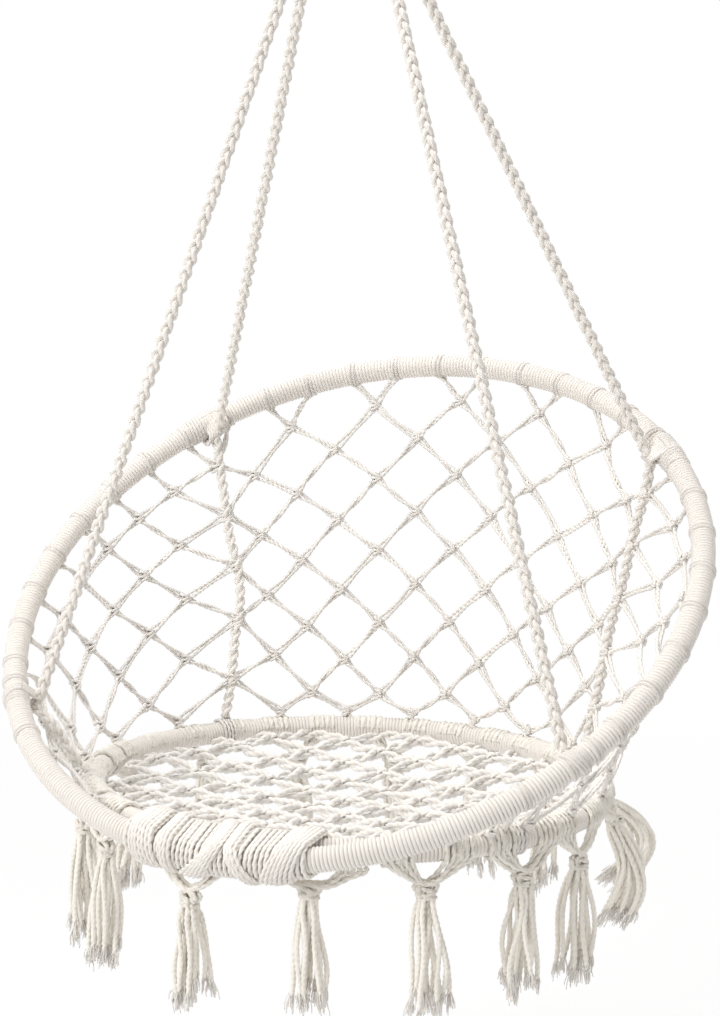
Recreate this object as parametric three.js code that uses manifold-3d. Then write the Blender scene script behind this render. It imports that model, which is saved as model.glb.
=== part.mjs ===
// Hammock chair: a large wrapped back ring and a smaller seat ring, knotted cord nets between and
// inside them, two doubled ropes up to a steel hanging ring, and a fringe of tassels.
// Millimetres. X is across the chair, Y points to its back and Z up. The origin is the inside top
// of the hanging ring, where a hook bears.
import * as THREE from "three";
import { mergeVertices } from "three/addons/utils/BufferGeometryUtils.js";
import Module from "manifold-3d";

// Clearance kept between pieces that touch.
const touchGap = 0.3;

// Hanging ring: round steel bar, welded into a ring.
const hangRingInside = 60;
const hangRingBar = 8;

// Ropes: one each side, doubled over the hanging ring and bound below it.
const ropeDiameter = 13;
const ropeSpreadAngle = 18.7; // each doubled rope leans out by this from the vertical
const doubledRopeLength = 63; // from the hanging ring's bar to the middle of the whipping
const whippingLength = 26;
const whippingWall = 3.5;

// Back ring: steel tube, wrapped with cotton cord.
const backRingOutside = 800;
const backRingDrop = 866; // its centre below the origin
const backRingSetback = 26; // its centre behind the origin
const backRingTilt = 35.1; // its rear is higher than its front
const ringTubeDiameter = 20;
const ringTubeWall = 1.5;
const ringWrapWall = 3; // one layer of 3 mm cord
const ringButtGap = 1.2; // between the butted ends of a ring, hidden at the front

// Seat ring: the same tube and wrap, tied behind the front of the back ring.
const seatRingOutside = 592;
const seatRingTilt = -1.1;
const ringPerchAngle = 19.5; // the seat ring's front lies behind the back ring's and this much above

// Places round the back ring, in degrees from its rear to each side.
const rearRopeAngle = 48.5;
const frontRopeAngle = 123.5;

// Ties of the front ropes: turns of cord round the back ring.
const tieCord = 4.5;
const tieTurns = 4;

// Binding of the two rings at the front.
const bindingCord = 5;
const bindingTurns = 18;
const bindingHalfAngle = 17;

// Back net: knots in offset rows between the rear stays, and level rows round the sides.
const netKnot = 11; // across a knot's corners
const netThickness = 6;
const netPitch = 8.2; // degrees from one column to the next
const stayColumn = 6; // the rear stays lie over this column on each side
const netSidePitch = 8.8; // degrees between the top knots of a side
const netSideSpread = 1; // more degrees between knots with each row down
const netReachAngle = 141; // the net ends here each side of the rear
const netRowRear = 45; // from one row of knots to the next, at the rear
const netRowSide = 31.5; // and at the stays, where a side's level rows are two of these apart
const netFirstRear = 28; // from the back ring to the first row, at the rear
const netFirstSide = 38; // and at the sides
const netLast = 22; // the last free knots are at least this far from the seat ring
const netMostRows = 40;
const netSlip = 7; // degrees by which the left side has slipped forward at its foot
const netSlipShare = 0.6; // from this share of the way down

// Seat net: knots in offset rows.
const seatKnot = 14;
const seatNetThickness = 8;
const seatNetPitch = 86; // between knots of a row
const seatNetRow = 38; // from one row to the next
const seatNetTurn = 25; // degrees by which the rows lie turned, the right end to the rear
const seatNetSag = 22;
const seatNetLast = 20; // the last knots are at least this far from the ring

// Tassels: two swags of cord from under the seat ring to a knot, with loose strands below.
const tasselAngles = [-171, -143, -124, -106, -86, -61, -37, -13, 9, 31, 54, 76, 99, 117, 139, 162.5];
const tasselDrop = 38; // from the seat ring's centre line to the knot
const tasselKnotHeight = 12;
const tasselKnotWidth = 17;
const tasselSideOut = 10; // tassels at the sides hang this much further out
const tasselSwagReach = 31; // from the knot to each swag's start, along the ring
const tasselSwagWidth = 11;
const tasselStrandLength = 106;
const tasselStrandWidth = 11;
const tasselStrands = 4;
const tasselSpread = 13; // how far the strands have spread at their ends

// How finely round things are faceted.
const ringSides = 8;
const tubeSides = 6;
const boreSides = 6;
const backRingSteps = 40;
const seatRingSteps = 32;
const hangRingSides = 6;
const hangRingSteps = 24;
const ropeSides = 8;
const bendSteps = 8;
const whippingArcSteps = 8;
const loopSteps = 12;
const loopSides = 5;
const stayPlaces = 5;
const strandSides = 3;
const knotSides = 6;
const weldDistance = 1e-4; // vertices nearer than this are one

const wasm = await Module();
wasm.setup();

const ACROSS = new THREE.Vector3(1, 0, 0);
const UP = new THREE.Vector3(0, 0, 1);
const wrapRadius = ringTubeDiameter / 2 + touchGap + ringWrapWall;
const ropeRadius = ropeDiameter / 2;

const cotton = (colour) =>
  new THREE.MeshStandardMaterial({ color: colour, roughness: 0.9, metalness: 0 });
const steel = (colour) =>
  new THREE.MeshStandardMaterial({ color: colour, roughness: 0.3, metalness: 1 });
const wrapCotton = cotton("#efeae0");
const ropeCotton = cotton("#ece5d8");
const netCotton = cotton("#eae2d3");
const tasselCotton = cotton("#e8decd");
const bareSteel = steel("#c4c6c8");
const tubeSteel = steel("#8d9094");

const chair = new THREE.Group();

function addPiece(name, geometry, material) {
  const mesh = new THREE.Mesh(geometry, material);
  mesh.name = name;
  chair.add(mesh);
}

// A regular polygon, as points for a shape.
function polygon(radius, sides) {
  return Array.from({ length: sides }, (_, k) => {
    const turn = (2 * Math.PI * k) / sides;
    return new THREE.Vector2(radius * Math.cos(turn), radius * Math.sin(turn));
  });
}

// A straight or many-cornered path with its own points, so that a tube keeps each corner.
class PointPath extends THREE.Curve {
  constructor(points) {
    super();
    this.points = points;
  }
  getPoint(t, target = new THREE.Vector3()) {
    const last = this.points.length - 1;
    const place = Math.min(Math.max(t, 0), 1) * last;
    const k = Math.min(Math.floor(place), last - 1);
    return target.lerpVectors(this.points[k], this.points[k + 1], place - k);
  }
  getPointAt(t, target) {
    return this.getPoint(t, target);
  }
  getTangent(t, target = new THREE.Vector3()) {
    const last = this.points.length - 1;
    const k = Math.round(t * last);
    const ahead = this.points[Math.min(k + 1, last)];
    const behind = this.points[Math.max(k - 1, 0)];
    return target.subVectors(ahead, behind).normalize();
  }
  getTangentAt(t, target) {
    return this.getTangent(t, target);
  }
}

// A round solid tube of one radius along a list of points.
function tubeAlong(points, radius, sides) {
  return new THREE.ExtrudeGeometry(new THREE.Shape(polygon(radius, sides)), {
    steps: points.length - 1,
    bevelEnabled: false,
    extrudePath: new PointPath(points),
  });
}

// One closed solid from several that overlap.
function join(geometries) {
  const solids = geometries.map((geometry) => {
    const bare = geometry.clone();
    bare.deleteAttribute("normal");
    bare.deleteAttribute("uv");
    const merged = mergeVertices(bare, weldDistance);
    return new wasm.Manifold(
      new wasm.Mesh({
        numProp: 3,
        vertProperties: merged.attributes.position.array,
        triVerts: new Uint32Array(merged.index.array),
      }),
    );
  });
  const { numProp, vertProperties, triVerts } = solids.reduce((a, b) => a.add(b)).getMesh();
  const joined = new THREE.BufferGeometry();
  joined.setAttribute("position", new THREE.BufferAttribute(vertProperties, numProp));
  joined.setIndex(new THREE.BufferAttribute(triVerts, 1));
  return joined;
}

// The radius of a loop's corners, so that its straight stretches lie outside the given radius.
function looped(radius) {
  return radius / Math.cos(Math.PI / loopSteps);
}

// The least distance from a wound tube's surface to itself, left out between near neighbours.
function leastGap(points, radius, apart) {
  let least = Infinity;
  for (let i = 0; i < points.length; i++)
    for (let j = i + apart; j < points.length; j++)
      least = Math.min(least, points[i].distanceTo(points[j]) - 2 * radius);
  return least;
}

// A ring in its own plane: where it lies, and points on and beside its centre line, which has as
// many straight stretches as the ring has steps.
function makeRing(centre, outside, tiltDegrees, steps) {
  const tilt = THREE.MathUtils.degToRad(tiltDegrees);
  const radius = outside / 2 - wrapRadius;
  const toRear = new THREE.Vector3(0, Math.cos(tilt), Math.sin(tilt));
  const normal = new THREE.Vector3(0, -Math.sin(tilt), Math.cos(tilt));
  const outward = (degrees) => {
    const turn = THREE.MathUtils.degToRad(degrees);
    return ACROSS.clone().multiplyScalar(Math.sin(turn)).addScaledVector(toRear, Math.cos(turn));
  };
  const along = (degrees) => outward(degrees + 90);
  const corner = (degrees) => centre.clone().addScaledVector(outward(degrees), radius);
  const step = 360 / steps;
  const at = (degrees, out = 0) => {
    const low = Math.floor(degrees / step) * step;
    return corner(low).lerp(corner(low + step), (degrees - low) / step)
      .addScaledVector(outward(degrees), out);
  };
  const perDegree = THREE.MathUtils.degToRad(radius);
  return { centre, radius, normal, toRear, outward, along, at, perDegree, steps };
}

const backRing = makeRing(
  new THREE.Vector3(0, backRingSetback, -backRingDrop),
  backRingOutside,
  backRingTilt,
  backRingSteps,
);
const frontOfBack = backRing.at(180);
const perch = THREE.MathUtils.degToRad(ringPerchAngle);
const ringsApart = 2 * wrapRadius + touchGap;
const frontOfSeat = new THREE.Vector3(
  0,
  frontOfBack.y + ringsApart * Math.cos(perch),
  frontOfBack.z + ringsApart * Math.sin(perch),
);
const seatTilt = THREE.MathUtils.degToRad(seatRingTilt);
const seatRadius = seatRingOutside / 2 - wrapRadius;
const seatRing = makeRing(
  new THREE.Vector3(
    0,
    frontOfSeat.y + seatRadius * Math.cos(seatTilt),
    frontOfSeat.z + seatRadius * Math.sin(seatTilt),
  ),
  seatRingOutside,
  seatRingTilt,
  seatRingSteps,
);

// A hollow sleeve bent into a ring with a butt gap at the front.
function ringSleeve(ring, outerRadius, outerSides, innerRadius, innerSides) {
  const { steps } = ring;
  const shape = new THREE.Shape(polygon(outerRadius, outerSides));
  shape.holes.push(new THREE.Path(polygon(innerRadius, innerSides)));
  const halfGap = THREE.MathUtils.radToDeg(ringButtGap / 2 / ring.radius);
  const from = -180 + halfGap;
  const span = 360 - 2 * halfGap;
  const path = new THREE.Curve();
  path.getPoint = (t) => ring.at(from + span * t);
  path.getPointAt = path.getPoint;
  path.getTangent = (t) => ring.along(from + span * t);
  path.getTangentAt = path.getTangent;
  return new THREE.ExtrudeGeometry(shape, { steps, bevelEnabled: false, extrudePath: path });
}

function addRing(name, ring) {
  const tubeRadius = ringTubeDiameter / 2;
  const bore = tubeRadius - ringTubeWall;
  addPiece(
    `${name}_tube`,
    ringSleeve(ring, tubeRadius, tubeSides, bore, boreSides),
    tubeSteel,
  );
  addPiece(
    `${name}_wrap`,
    ringSleeve(ring, wrapRadius, ringSides, tubeRadius + touchGap, tubeSides),
    wrapCotton,
  );
}
addRing("back_ring", backRing);
addRing("seat_ring", seatRing);

// The hanging ring stands across the chair, its inside top at the origin.
const hangRadius = (hangRingInside + hangRingBar) / 2;
const hangCentre = new THREE.Vector3(0, 0, -hangRingInside / 2);
const hangGeometry = new THREE.TorusGeometry(
  hangRadius,
  hangRingBar / 2,
  hangRingSides,
  hangRingSteps,
);
hangGeometry.rotateX(Math.PI / 2);
hangGeometry.translate(hangCentre.x, hangCentre.y, hangCentre.z);
addPiece("hanging_ring", hangGeometry, bareSteel);

// One side's rope: an eye over the hanging ring's bar, a whipping, and a leg to the front and rear.
const rope = {};
for (const [side, sign] of [["left", -1], ["right", 1]]) {
  const lean = THREE.MathUtils.degToRad(ropeSpreadAngle) * sign;
  const down = new THREE.Vector3(Math.sin(lean), 0, -Math.cos(lean));
  const bar = hangCentre.clone().addScaledVector(down, hangRadius);
  const eyeClearance = hangRingBar / 2 + 2 * touchGap + ropeRadius;
  const eyeRadius = eyeClearance / Math.cos(Math.PI / 2 / bendSteps);
  const pairedOffset = ropeRadius + touchGap / 2;
  const toFront = new THREE.Vector3(0, -1, 0);
  const eyeEnd = doubledRopeLength - whippingLength / 2 - touchGap;
  const leg = (front) => [
    bar.clone().addScaledVector(down, eyeEnd).addScaledVector(toFront, front * pairedOffset),
    bar.clone().addScaledVector(down, eyeEnd - ropeDiameter)
      .addScaledVector(toFront, front * pairedOffset),
  ];
  const bend = Array.from({ length: bendSteps + 1 }, (_, k) => {
    const turn = (Math.PI * k) / bendSteps;
    return bar.clone()
      .addScaledVector(down, -eyeRadius * Math.sin(turn))
      .addScaledVector(toFront, eyeRadius * Math.cos(turn));
  });
  const eye = [...leg(1), ...bend, ...leg(-1).reverse()];
  addPiece(`rope_eye_${side}`, tubeAlong(eye, ropeRadius, ropeSides), ropeCotton);

  // The whipping is an oval sleeve round both legs.
  const middle = bar.clone().addScaledVector(down, doubledRopeLength);
  const halfRound = (radius, offset) => {
    const points = [];
    for (const [centre, start] of [[offset, -Math.PI / 2], [-offset, Math.PI / 2]])
      for (let k = 0; k <= whippingArcSteps; k++) {
        const turn = start + (Math.PI * k) / whippingArcSteps;
        points.push(new THREE.Vector2(centre + radius * Math.cos(turn), radius * Math.sin(turn)));
      }
    return points;
  };
  const sleeve = new THREE.Shape(halfRound(ropeRadius + touchGap + whippingWall, pairedOffset));
  sleeve.holes.push(new THREE.Path(halfRound(ropeRadius + touchGap, pairedOffset)));
  const whipping = new THREE.ExtrudeGeometry(sleeve, {
    depth: whippingLength,
    steps: 1,
    bevelEnabled: false,
  });
  whipping.translate(0, 0, -whippingLength / 2);
  whipping.applyMatrix4(
    new THREE.Matrix4().makeBasis(
      toFront,
      new THREE.Vector3().crossVectors(down, toFront),
      down,
    ).setPosition(middle),
  );
  addPiece(`whipping_${side}`, whipping, ropeCotton);
  rope[side] = { down, middle, toFront, pairedOffset };
}

// Where a leg leaves its whipping: straight through it, then free.
function legStart(side, front) {
  const { down, middle, toFront, pairedOffset } = rope[side];
  return [-whippingLength / 2, whippingLength / 2 + ropeRadius / 2].map((drop) =>
    middle.clone().addScaledVector(down, drop).addScaledVector(toFront, front * pairedOffset),
  );
}

// The directions square to the back ring's tube at one place: towards a target, and to the inside.
function acrossTube(degrees, target) {
  const along = backRing.along(degrees);
  const toTarget = target.clone().sub(backRing.at(degrees));
  const facing = toTarget.addScaledVector(along, -toTarget.dot(along)).normalize();
  const inner = new THREE.Vector3().crossVectors(along, facing);
  if (inner.dot(backRing.outward(degrees)) > 0) inner.negate();
  return { along, facing, inner };
}

// Where the nets and stays run: the slanting face from the back ring down to the seat ring.
function netLine(degrees) {
  const top = backRing.at(degrees);
  const down = seatRing.at(degrees).sub(top);
  const span = down.length();
  down.normalize();
  const round = backRing.along(degrees).add(seatRing.along(degrees));
  const inward = round.clone().cross(down).normalize();
  if (inward.dot(backRing.outward(degrees)) > 0) inward.negate();
  const across = inward.clone().cross(down);
  const clearOf = (ring) => (wrapRadius + touchGap) / squareness(down, ring, degrees);
  const start = clearOf(backRing);
  return { top, down, inward, across, start, length: span - start - clearOf(seatRing) };
}
function squareness(direction, ring, degrees) {
  return direction.clone().cross(ring.along(degrees)).length();
}
function onNet(degrees, drop, inside = 0) {
  const line = netLine(degrees);
  return line.top.addScaledVector(line.down, line.start + drop).addScaledVector(line.inward, inside);
}

// The left side of the net has slipped towards the front near its foot.
const stayAngle = stayColumn * netPitch;
function slipped(degrees, share) {
  if (degrees > -stayAngle) return degrees;
  return degrees - (netSlip * Math.max(share - netSlipShare, 0)) / (1 - netSlipShare);
}

// A stay goes on from its rope down the inside of the back net to the seat ring.
const stayInside = ropeRadius + netThickness / 2 + 3 * touchGap;
const frontStayInside = stayInside + ropeRadius;
function addStay(name, start, heading, angleAt, inside) {
  const points = [start, start.clone().addScaledVector(heading, ropeRadius + touchGap)];
  for (let k = 1; k <= stayPlaces; k++) {
    const share = k / stayPlaces;
    const angle = angleAt(share);
    const { down, length } = netLine(angle);
    const square = squareness(down, seatRing, angle);
    const skewed = (ropeRadius * Math.sqrt(1 - square * square)) / square;
    const drop = share * (length - touchGap - skewed);
    if (drop > ropeDiameter) points.push(onNet(angle, drop, inside));
  }
  addPiece(name, tubeAlong(points, ropeRadius, ropeSides), ropeCotton);
}

// Rear legs: a round turn about the back ring, and on down as a stay.
const hitchPitch = ropeDiameter + 2 * touchGap;
for (const [side, sign] of [["left", -1], ["right", 1]]) {
  const degrees = sign * rearRopeAngle;
  const [above, below] = legStart(side, -1);
  const { along, facing, inner } = acrossTube(degrees, below);
  const turnRadius = looped(wrapRadius + touchGap + ropeRadius);
  const entry = backRing.at(degrees).addScaledVector(inner, turnRadius);
  const arriving = below.clone().sub(entry).normalize();

  // It leaves the ring along the net, as seen along the ring's tube.
  const leaving = netLine(degrees).down;
  leaving.addScaledVector(along, -leaving.dot(along)).normalize();
  const whole = 2 * Math.PI - Math.atan2(leaving.dot(inner), -leaving.dot(facing));
  const turn = Array.from({ length: loopSteps + 1 }, (_, k) => {
    const round = (whole * k) / loopSteps;
    const slid = (sign * hitchPitch * k) / loopSteps / backRing.perDegree;
    return backRing.at(degrees + slid)
      .addScaledVector(inner, turnRadius * Math.cos(round))
      .addScaledVector(facing, -turnRadius * Math.sin(round));
  });
  const hitchStart = entry.clone().addScaledVector(arriving, ropeDiameter);
  const hitchEnd = turn[loopSteps].clone().addScaledVector(leaving, ropeDiameter);
  const hitch = tubeAlong([hitchStart, ...turn, hitchEnd], ropeRadius, ropeSides);
  addPiece(`rope_hitch_rear_${side}`, hitch, ropeCotton);
  const legEnd = hitchStart.clone().addScaledVector(arriving, touchGap);
  const leg = tubeAlong([above, below, legEnd], ropeRadius, ropeSides);
  addPiece(`rope_rear_${side}`, leg, ropeCotton);
  const stayStart = hitchEnd.clone().addScaledVector(leaving, touchGap);
  const stayPlace = (share) => slipped(sign * stayAngle, share);
  addStay(`stay_rear_${side}`, stayStart, leaving, stayPlace, stayInside);
}

// Front legs: they pass inside the back ring, against turns of cord, and on down as short stays.
for (const [side, sign] of [["left", -1], ["right", 1]]) {
  const degrees = sign * frontRopeAngle;
  const [above, below] = legStart(side, 1);
  const { facing, inner } = acrossTube(degrees, below);
  const tieRadius = looped(wrapRadius + touchGap + tieCord / 2);
  const stand = tieRadius + tieCord / 2 + touchGap + ropeRadius;
  const foot = backRing.at(degrees).addScaledVector(inner, stand);
  const arriving = below.clone().sub(foot).normalize();
  const stayStart = foot.clone().addScaledVector(arriving, ropeDiameter);
  const legEnd = stayStart.clone().addScaledVector(arriving, touchGap);
  const leg = tubeAlong([above, below, legEnd], ropeRadius, ropeSides);
  addPiece(`rope_front_${side}`, leg, ropeCotton);
  const pitch = tieCord + 2 * touchGap;
  const steps = tieTurns * loopSteps;
  const tie = Array.from({ length: steps + 1 }, (_, k) => {
    const round = (2 * Math.PI * k) / loopSteps;
    const slid = (pitch * (k / loopSteps - tieTurns / 2)) / backRing.perDegree;
    return backRing.at(degrees + slid)
      .addScaledVector(facing, tieRadius * Math.cos(round))
      .addScaledVector(inner, tieRadius * Math.sin(round));
  });
  console.log(`rope_tie_front_${side} least gap`, leastGap(tie, tieCord / 2, loopSteps / 2));
  addPiece(`rope_tie_front_${side}`, tubeAlong(tie, tieCord / 2, loopSides), ropeCotton);
  addStay(`stay_front_${side}`, stayStart, arriving.negate(), () => degrees, frontStayInside);
}

// Front binding: one cord wound round both rings, square to them as it goes.
const bindingHalfReach = backRing.radius * Math.sin(THREE.MathUtils.degToRad(bindingHalfAngle));
const bindingSlant = Math.asin(bindingHalfReach / seatRing.radius);
const bindingRadius = looped(
  wrapRadius / Math.cos(bindingSlant) + 2 * touchGap + bindingCord / 2,
);
const bindingDepth = bindingRadius + bindingCord / 2 - wrapRadius;
function bindingLine() {
  const radius = bindingRadius;
  const steps = bindingTurns * loopSteps;
  return Array.from({ length: steps + 1 }, (_, k) => {
    const x = bindingHalfReach * ((2 * k) / steps - 1);
    const backAngle = 180 - THREE.MathUtils.radToDeg(Math.asin(x / backRing.radius));
    const seatAngle = 180 - THREE.MathUtils.radToDeg(Math.asin(x / seatRing.radius));
    const a = backRing.at(backAngle);
    const b = seatRing.at(seatAngle);
    const apart = b.clone().sub(a).normalize();
    const over = new THREE.Vector3().crossVectors(ACROSS, apart);
    const round = (2 * Math.PI * k) / loopSteps;
    const reach = Math.cos(round);
    return (reach > 0 ? b : a)
      .addScaledVector(apart, radius * reach)
      .addScaledVector(over, radius * Math.sin(round));
  });
}
const binding = bindingLine();
console.log("front_binding least gap", leastGap(binding, bindingCord / 2, loopSteps / 2));
addPiece("front_binding", tubeAlong(binding, bindingCord / 2, loopSides), ropeCotton);

// The sides of a knot, each between two corners, with the way that it faces in quarter turns and
// the side of the next knot that it meets.
const SIDES = {
  ne: { from: "n", to: "e", faces: 0.5, meets: "sw" },
  nw: { from: "w", to: "n", faces: 1.5, meets: "se" },
  sw: { from: "s", to: "w", faces: 2.5, meets: "ne" },
  se: { from: "e", to: "s", faces: 3.5, meets: "nw" },
};
const QUARTER = Math.PI / 2;

// A knotted net as one closed solid: each knot a flat diamond, each leg a flat bar from one of its
// sides to the next knot's side or to an end. A knot has links, by side, to knots or to ends.
function netGeometry(knots, width, thickness) {
  const positions = [];
  const faces = [];
  const quad = (a, b, c, d) => faces.push(a, b, c, a, c, d);
  const pair = (spot, out) =>
    [thickness / 2, -thickness / 2].map((height) => {
      const corner = spot.clone().addScaledVector(out, height);
      return positions.push(corner.x, corner.y, corner.z) / 3 - 1;
    });

  // Each diamond is turned so that its sides face its legs.
  for (const knot of knots.values()) {
    let turn = 0;
    const linked = Object.entries(knot.links).filter(([, link]) => link);
    for (const [side, link] of linked) {
      const run = link.at.clone().sub(knot.at);
      const heading = Math.atan2(run.dot(knot.north), run.dot(knot.east));
      const off = heading - SIDES[side].faces * QUARTER;
      turn += Math.atan2(Math.sin(off), Math.cos(off)) / linked.length;
    }
    knot.corner = {};
    for (const [quarter, name] of ["e", "n", "w", "s"].entries()) {
      const bearing = turn + quarter * QUARTER;
      const spot = knot.at.clone()
        .addScaledVector(knot.east, (width / 2) * Math.cos(bearing))
        .addScaledVector(knot.north, (width / 2) * Math.sin(bearing));
      knot.corner[name] = pair(spot, knot.out);
    }
    const { n, e, s, w } = knot.corner;
    quad(e[0], n[0], w[0], s[0]);
    quad(e[1], s[1], w[1], n[1]);
  }

  // A bar runs from one edge to another, both given left to right as seen along it.
  const bar = (left, right, farLeft, farRight) => {
    quad(left[0], right[0], farRight[0], farLeft[0]);
    quad(left[1], farLeft[1], farRight[1], right[1]);
    quad(left[0], farLeft[0], farLeft[1], left[1]);
    quad(right[0], right[1], farRight[1], farRight[0]);
  };
  for (const knot of knots.values())
    for (const [side, { from, to, meets }] of Object.entries(SIDES)) {
      const left = knot.corner[from];
      const right = knot.corner[to];
      const link = knot.links[side];
      if (!link) quad(left[0], right[0], right[1], left[1]);
      else if (!link.links) {
        const half = (width * Math.SQRT1_2) / 2;
        const [farLeft, farRight] = [-half, half].map((aside) =>
          pair(link.at.clone().addScaledVector(link.rightward, aside), link.out),
        );
        bar(left, right, farLeft, farRight);
        quad(farLeft[0], farRight[0], farRight[1], farLeft[1]);
      } else if (side === "se" || side === "sw") {
        const far = SIDES[meets];
        bar(left, right, link.corner[far.to], link.corner[far.from]);
      }
    }
  const geometry = new THREE.BufferGeometry();
  geometry.setAttribute("position", new THREE.Float32BufferAttribute(positions, 3));
  geometry.setIndex(faces);
  return geometry;
}

// The end of a leg on a ring; its edge lies along the ring, left to right as seen from the knot.
function legEnd(knot, at, along, out) {
  const run = at.clone().sub(knot.at);
  const rightward = along.clone();
  if (rightward.dot(run.cross(knot.out)) < 0) rightward.negate();
  return { at, rightward, out };
}

// Back net: rows of knots down from the back ring, ending in knots on the seat ring.
function backNet() {
  const place = (i, j) => {
    const sign = Math.sign(i);
    const past = Math.max(Math.abs(i) - stayColumn, 0);
    const side = Math.min(Math.abs(i) / stayColumn, 1) ** 3;
    const row = netRowRear + (netRowSide - netRowRear) * side;
    const first = netFirstRear + (netFirstSide - netFirstRear) * side;
    const level = (j - 1 - past) / 2;
    const drop = first + 2 * level * row;
    const sidePitch = netSidePitch + netSideSpread * Math.max(level, 0);
    const degrees = sign * (Math.min(Math.abs(i), stayColumn) * netPitch + past * sidePitch);
    const { length } = netLine(degrees);
    const reaches = (i + j) % 2 !== 0 && level >= 0 && Math.abs(degrees) <= netReachAngle;
    return { degrees, drop, length, reaches, free: reaches && drop <= length - netLast };
  };
  const knots = new Map();
  const put = (i, j, degrees, drop, free) => {
    const line = netLine(degrees);
    const at = line.top.addScaledVector(line.down, line.start + drop);
    const north = line.down.clone().negate();
    knots.set(`${i},${j}`, { i, j, at, north, east: line.across, out: line.inward, free, links: {} });
  };
  const columns = stayColumn + Math.ceil((netReachAngle - stayAngle) / netSidePitch);
  for (let i = -columns; i <= columns; i++)
    for (let j = 1; j <= netMostRows; j++) {
      const { degrees, drop, length, reaches, free } = place(i, j);
      const share = Math.min(drop / length, 1);
      if (free) {
        put(i, j, slipped(degrees, share), drop, true);
      } else if (reaches && (place(i - 1, j - 1).free || place(i + 1, j - 1).free)) {
        const angle = slipped(degrees, 1);
        const line = netLine(angle);
        const radius = netKnot / 2 / squareness(line.down, seatRing, angle);
        put(i, j, angle, line.length - radius, false);
        break;
      }
    }

  // Legs to the back ring keep clear of the ropes' turns.
  const { perDegree } = backRing;
  const clear = netKnot;
  const tieReach = (tieTurns / 2) * (tieCord + 2 * touchGap) + tieCord / 2;
  const turns = [
    [rearRopeAngle, -ropeRadius - clear, hitchPitch + ropeRadius + clear],
    [frontRopeAngle, -tieReach - clear, tieReach + clear],
  ];
  const besideTurns = (degrees, home) => {
    for (const [angle, low, high] of turns) {
      const least = angle + low / perDegree;
      const most = angle + high / perDegree;
      const size = Math.abs(degrees);
      if (size > least && size < most)
        return Math.sign(degrees) * (Math.abs(home) < (least + most) / 2 ? least : most);
    }
    return degrees;
  };
  for (const knot of knots.values()) {
    const { i, j, free } = knot;
    const freeAt = (column, row) => knots.get(`${column},${row}`)?.free;
    const below = (step) => (free ? knots.get(`${i + step},${j + 1}`) : undefined);
    const above = (step) => (freeAt(i + step, j - 1) ? knots.get(`${i + step},${j - 1}`) : undefined);
    knot.links = { ne: above(1), nw: above(-1), sw: below(-1), se: below(1) };
    for (const [side, step] of [["ne", 1], ["nw", -1]]) {
      const outward = i * step > 0 || i === 0;
      const onTop = j === 1 ? true : outward && place(i, j - 2).reaches === false;
      if (!free || knot.links[side] || !onTop) continue;
      const past = Math.abs(i) - stayColumn;
      const home = place(i, j).degrees;
      const pitch = past > 0 || (past === 0 && outward) ? netSidePitch : netPitch;
      const angle = besideTurns(home + (step * pitch) / 2, home);
      const along = backRing.along(angle);
      const { top, down, inward } = netLine(angle);
      down.addScaledVector(along, -down.dot(along)).normalize();
      inward.addScaledVector(along, -inward.dot(along));
      inward.addScaledVector(down, -inward.dot(down)).normalize();
      const at = top.addScaledVector(down, wrapRadius + touchGap);
      knot.links[side] = legEnd(knot, at, along, inward);
    }
  }
  return netGeometry(knots, netKnot, netThickness);
}
addPiece("back_net", backNet(), netCotton);

// Seat net: knots in offset rows inside the seat ring, sagging a little, legs out to its wrap.
function seatNet() {
  const reach = seatRing.radius - wrapRadius - touchGap;
  const sag = (x, y) => -seatNetSag * (1 - (x * x + y * y) / (reach * reach));
  const spot = (x, y) =>
    seatRing.centre.clone()
      .addScaledVector(ACROSS, x)
      .addScaledVector(seatRing.toRear, y)
      .addScaledVector(seatRing.normal, sag(x, y));
  const knots = new Map();
  const rows = Math.floor(reach / seatNetRow);
  const columns = Math.ceil((2 * reach) / seatNetPitch);
  const endSkew = ((seatKnot * Math.SQRT1_2) / 2) * Math.sin(Math.PI / seatRing.steps);
  const north = seatRing.outward(-seatNetTurn);
  const east = seatRing.outward(90 - seatNetTurn);
  const out = seatRing.normal;
  const place = (i, j) => {
    const flat = east.clone().multiplyScalar((i * seatNetPitch) / 2);
    flat.addScaledVector(north, j * seatNetRow);
    return [flat.dot(ACROSS), flat.dot(seatRing.toRear)];
  };
  for (let j = -rows; j <= rows; j++)
    for (let i = -columns; i <= columns; i++) {
      const [x, y] = place(i, j);
      if ((i + j) % 2 !== 0 || Math.hypot(x, y) > reach - seatNetLast) continue;
      knots.set(`${i},${j}`, { i, j, at: spot(x, y), north, east, out, links: {} });
    }
  const steps = { ne: [1, 1], se: [1, -1], sw: [-1, -1], nw: [-1, 1] };
  for (const knot of knots.values())
    for (const [side, [di, dj]] of Object.entries(steps)) {
      const next = knots.get(`${knot.i + di},${knot.j + dj}`);
      knot.links[side] = next;
      if (next) continue;
      // The leg runs on to the ring along its own line.
      const [x, y] = place(knot.i, knot.j);
      const [u, v] = place(di, dj);
      const square = u * u + v * v;
      const slope = x * u + y * v;
      const shareTo = (edge) => {
        const beyond = edge * edge - x * x - y * y;
        return (Math.sqrt(slope * slope + square * beyond) - slope) / square;
      };
      const circled = shareTo(reach);
      const bearing = Math.atan2(x + u * circled, y + v * circled);
      const facet = seatRing.at(THREE.MathUtils.radToDeg(bearing)).distanceTo(seatRing.centre);
      const edge = facet - wrapRadius - touchGap - endSkew;
      const bound = y < 0 && Math.abs(x + u * circled) < bindingHalfReach + seatKnot;
      const share = shareTo(bound ? edge - bindingDepth : edge);
      const end = spot(x + u * share, y + v * share);
      const outward = end.clone().sub(seatRing.centre);
      const along = outward.cross(out).normalize();
      knot.links[side] = legEnd(knot, end, along, out);
    }
  return netGeometry(knots, seatKnot, seatNetThickness);
}
addPiece("seat_net", seatNet(), netCotton);

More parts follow.
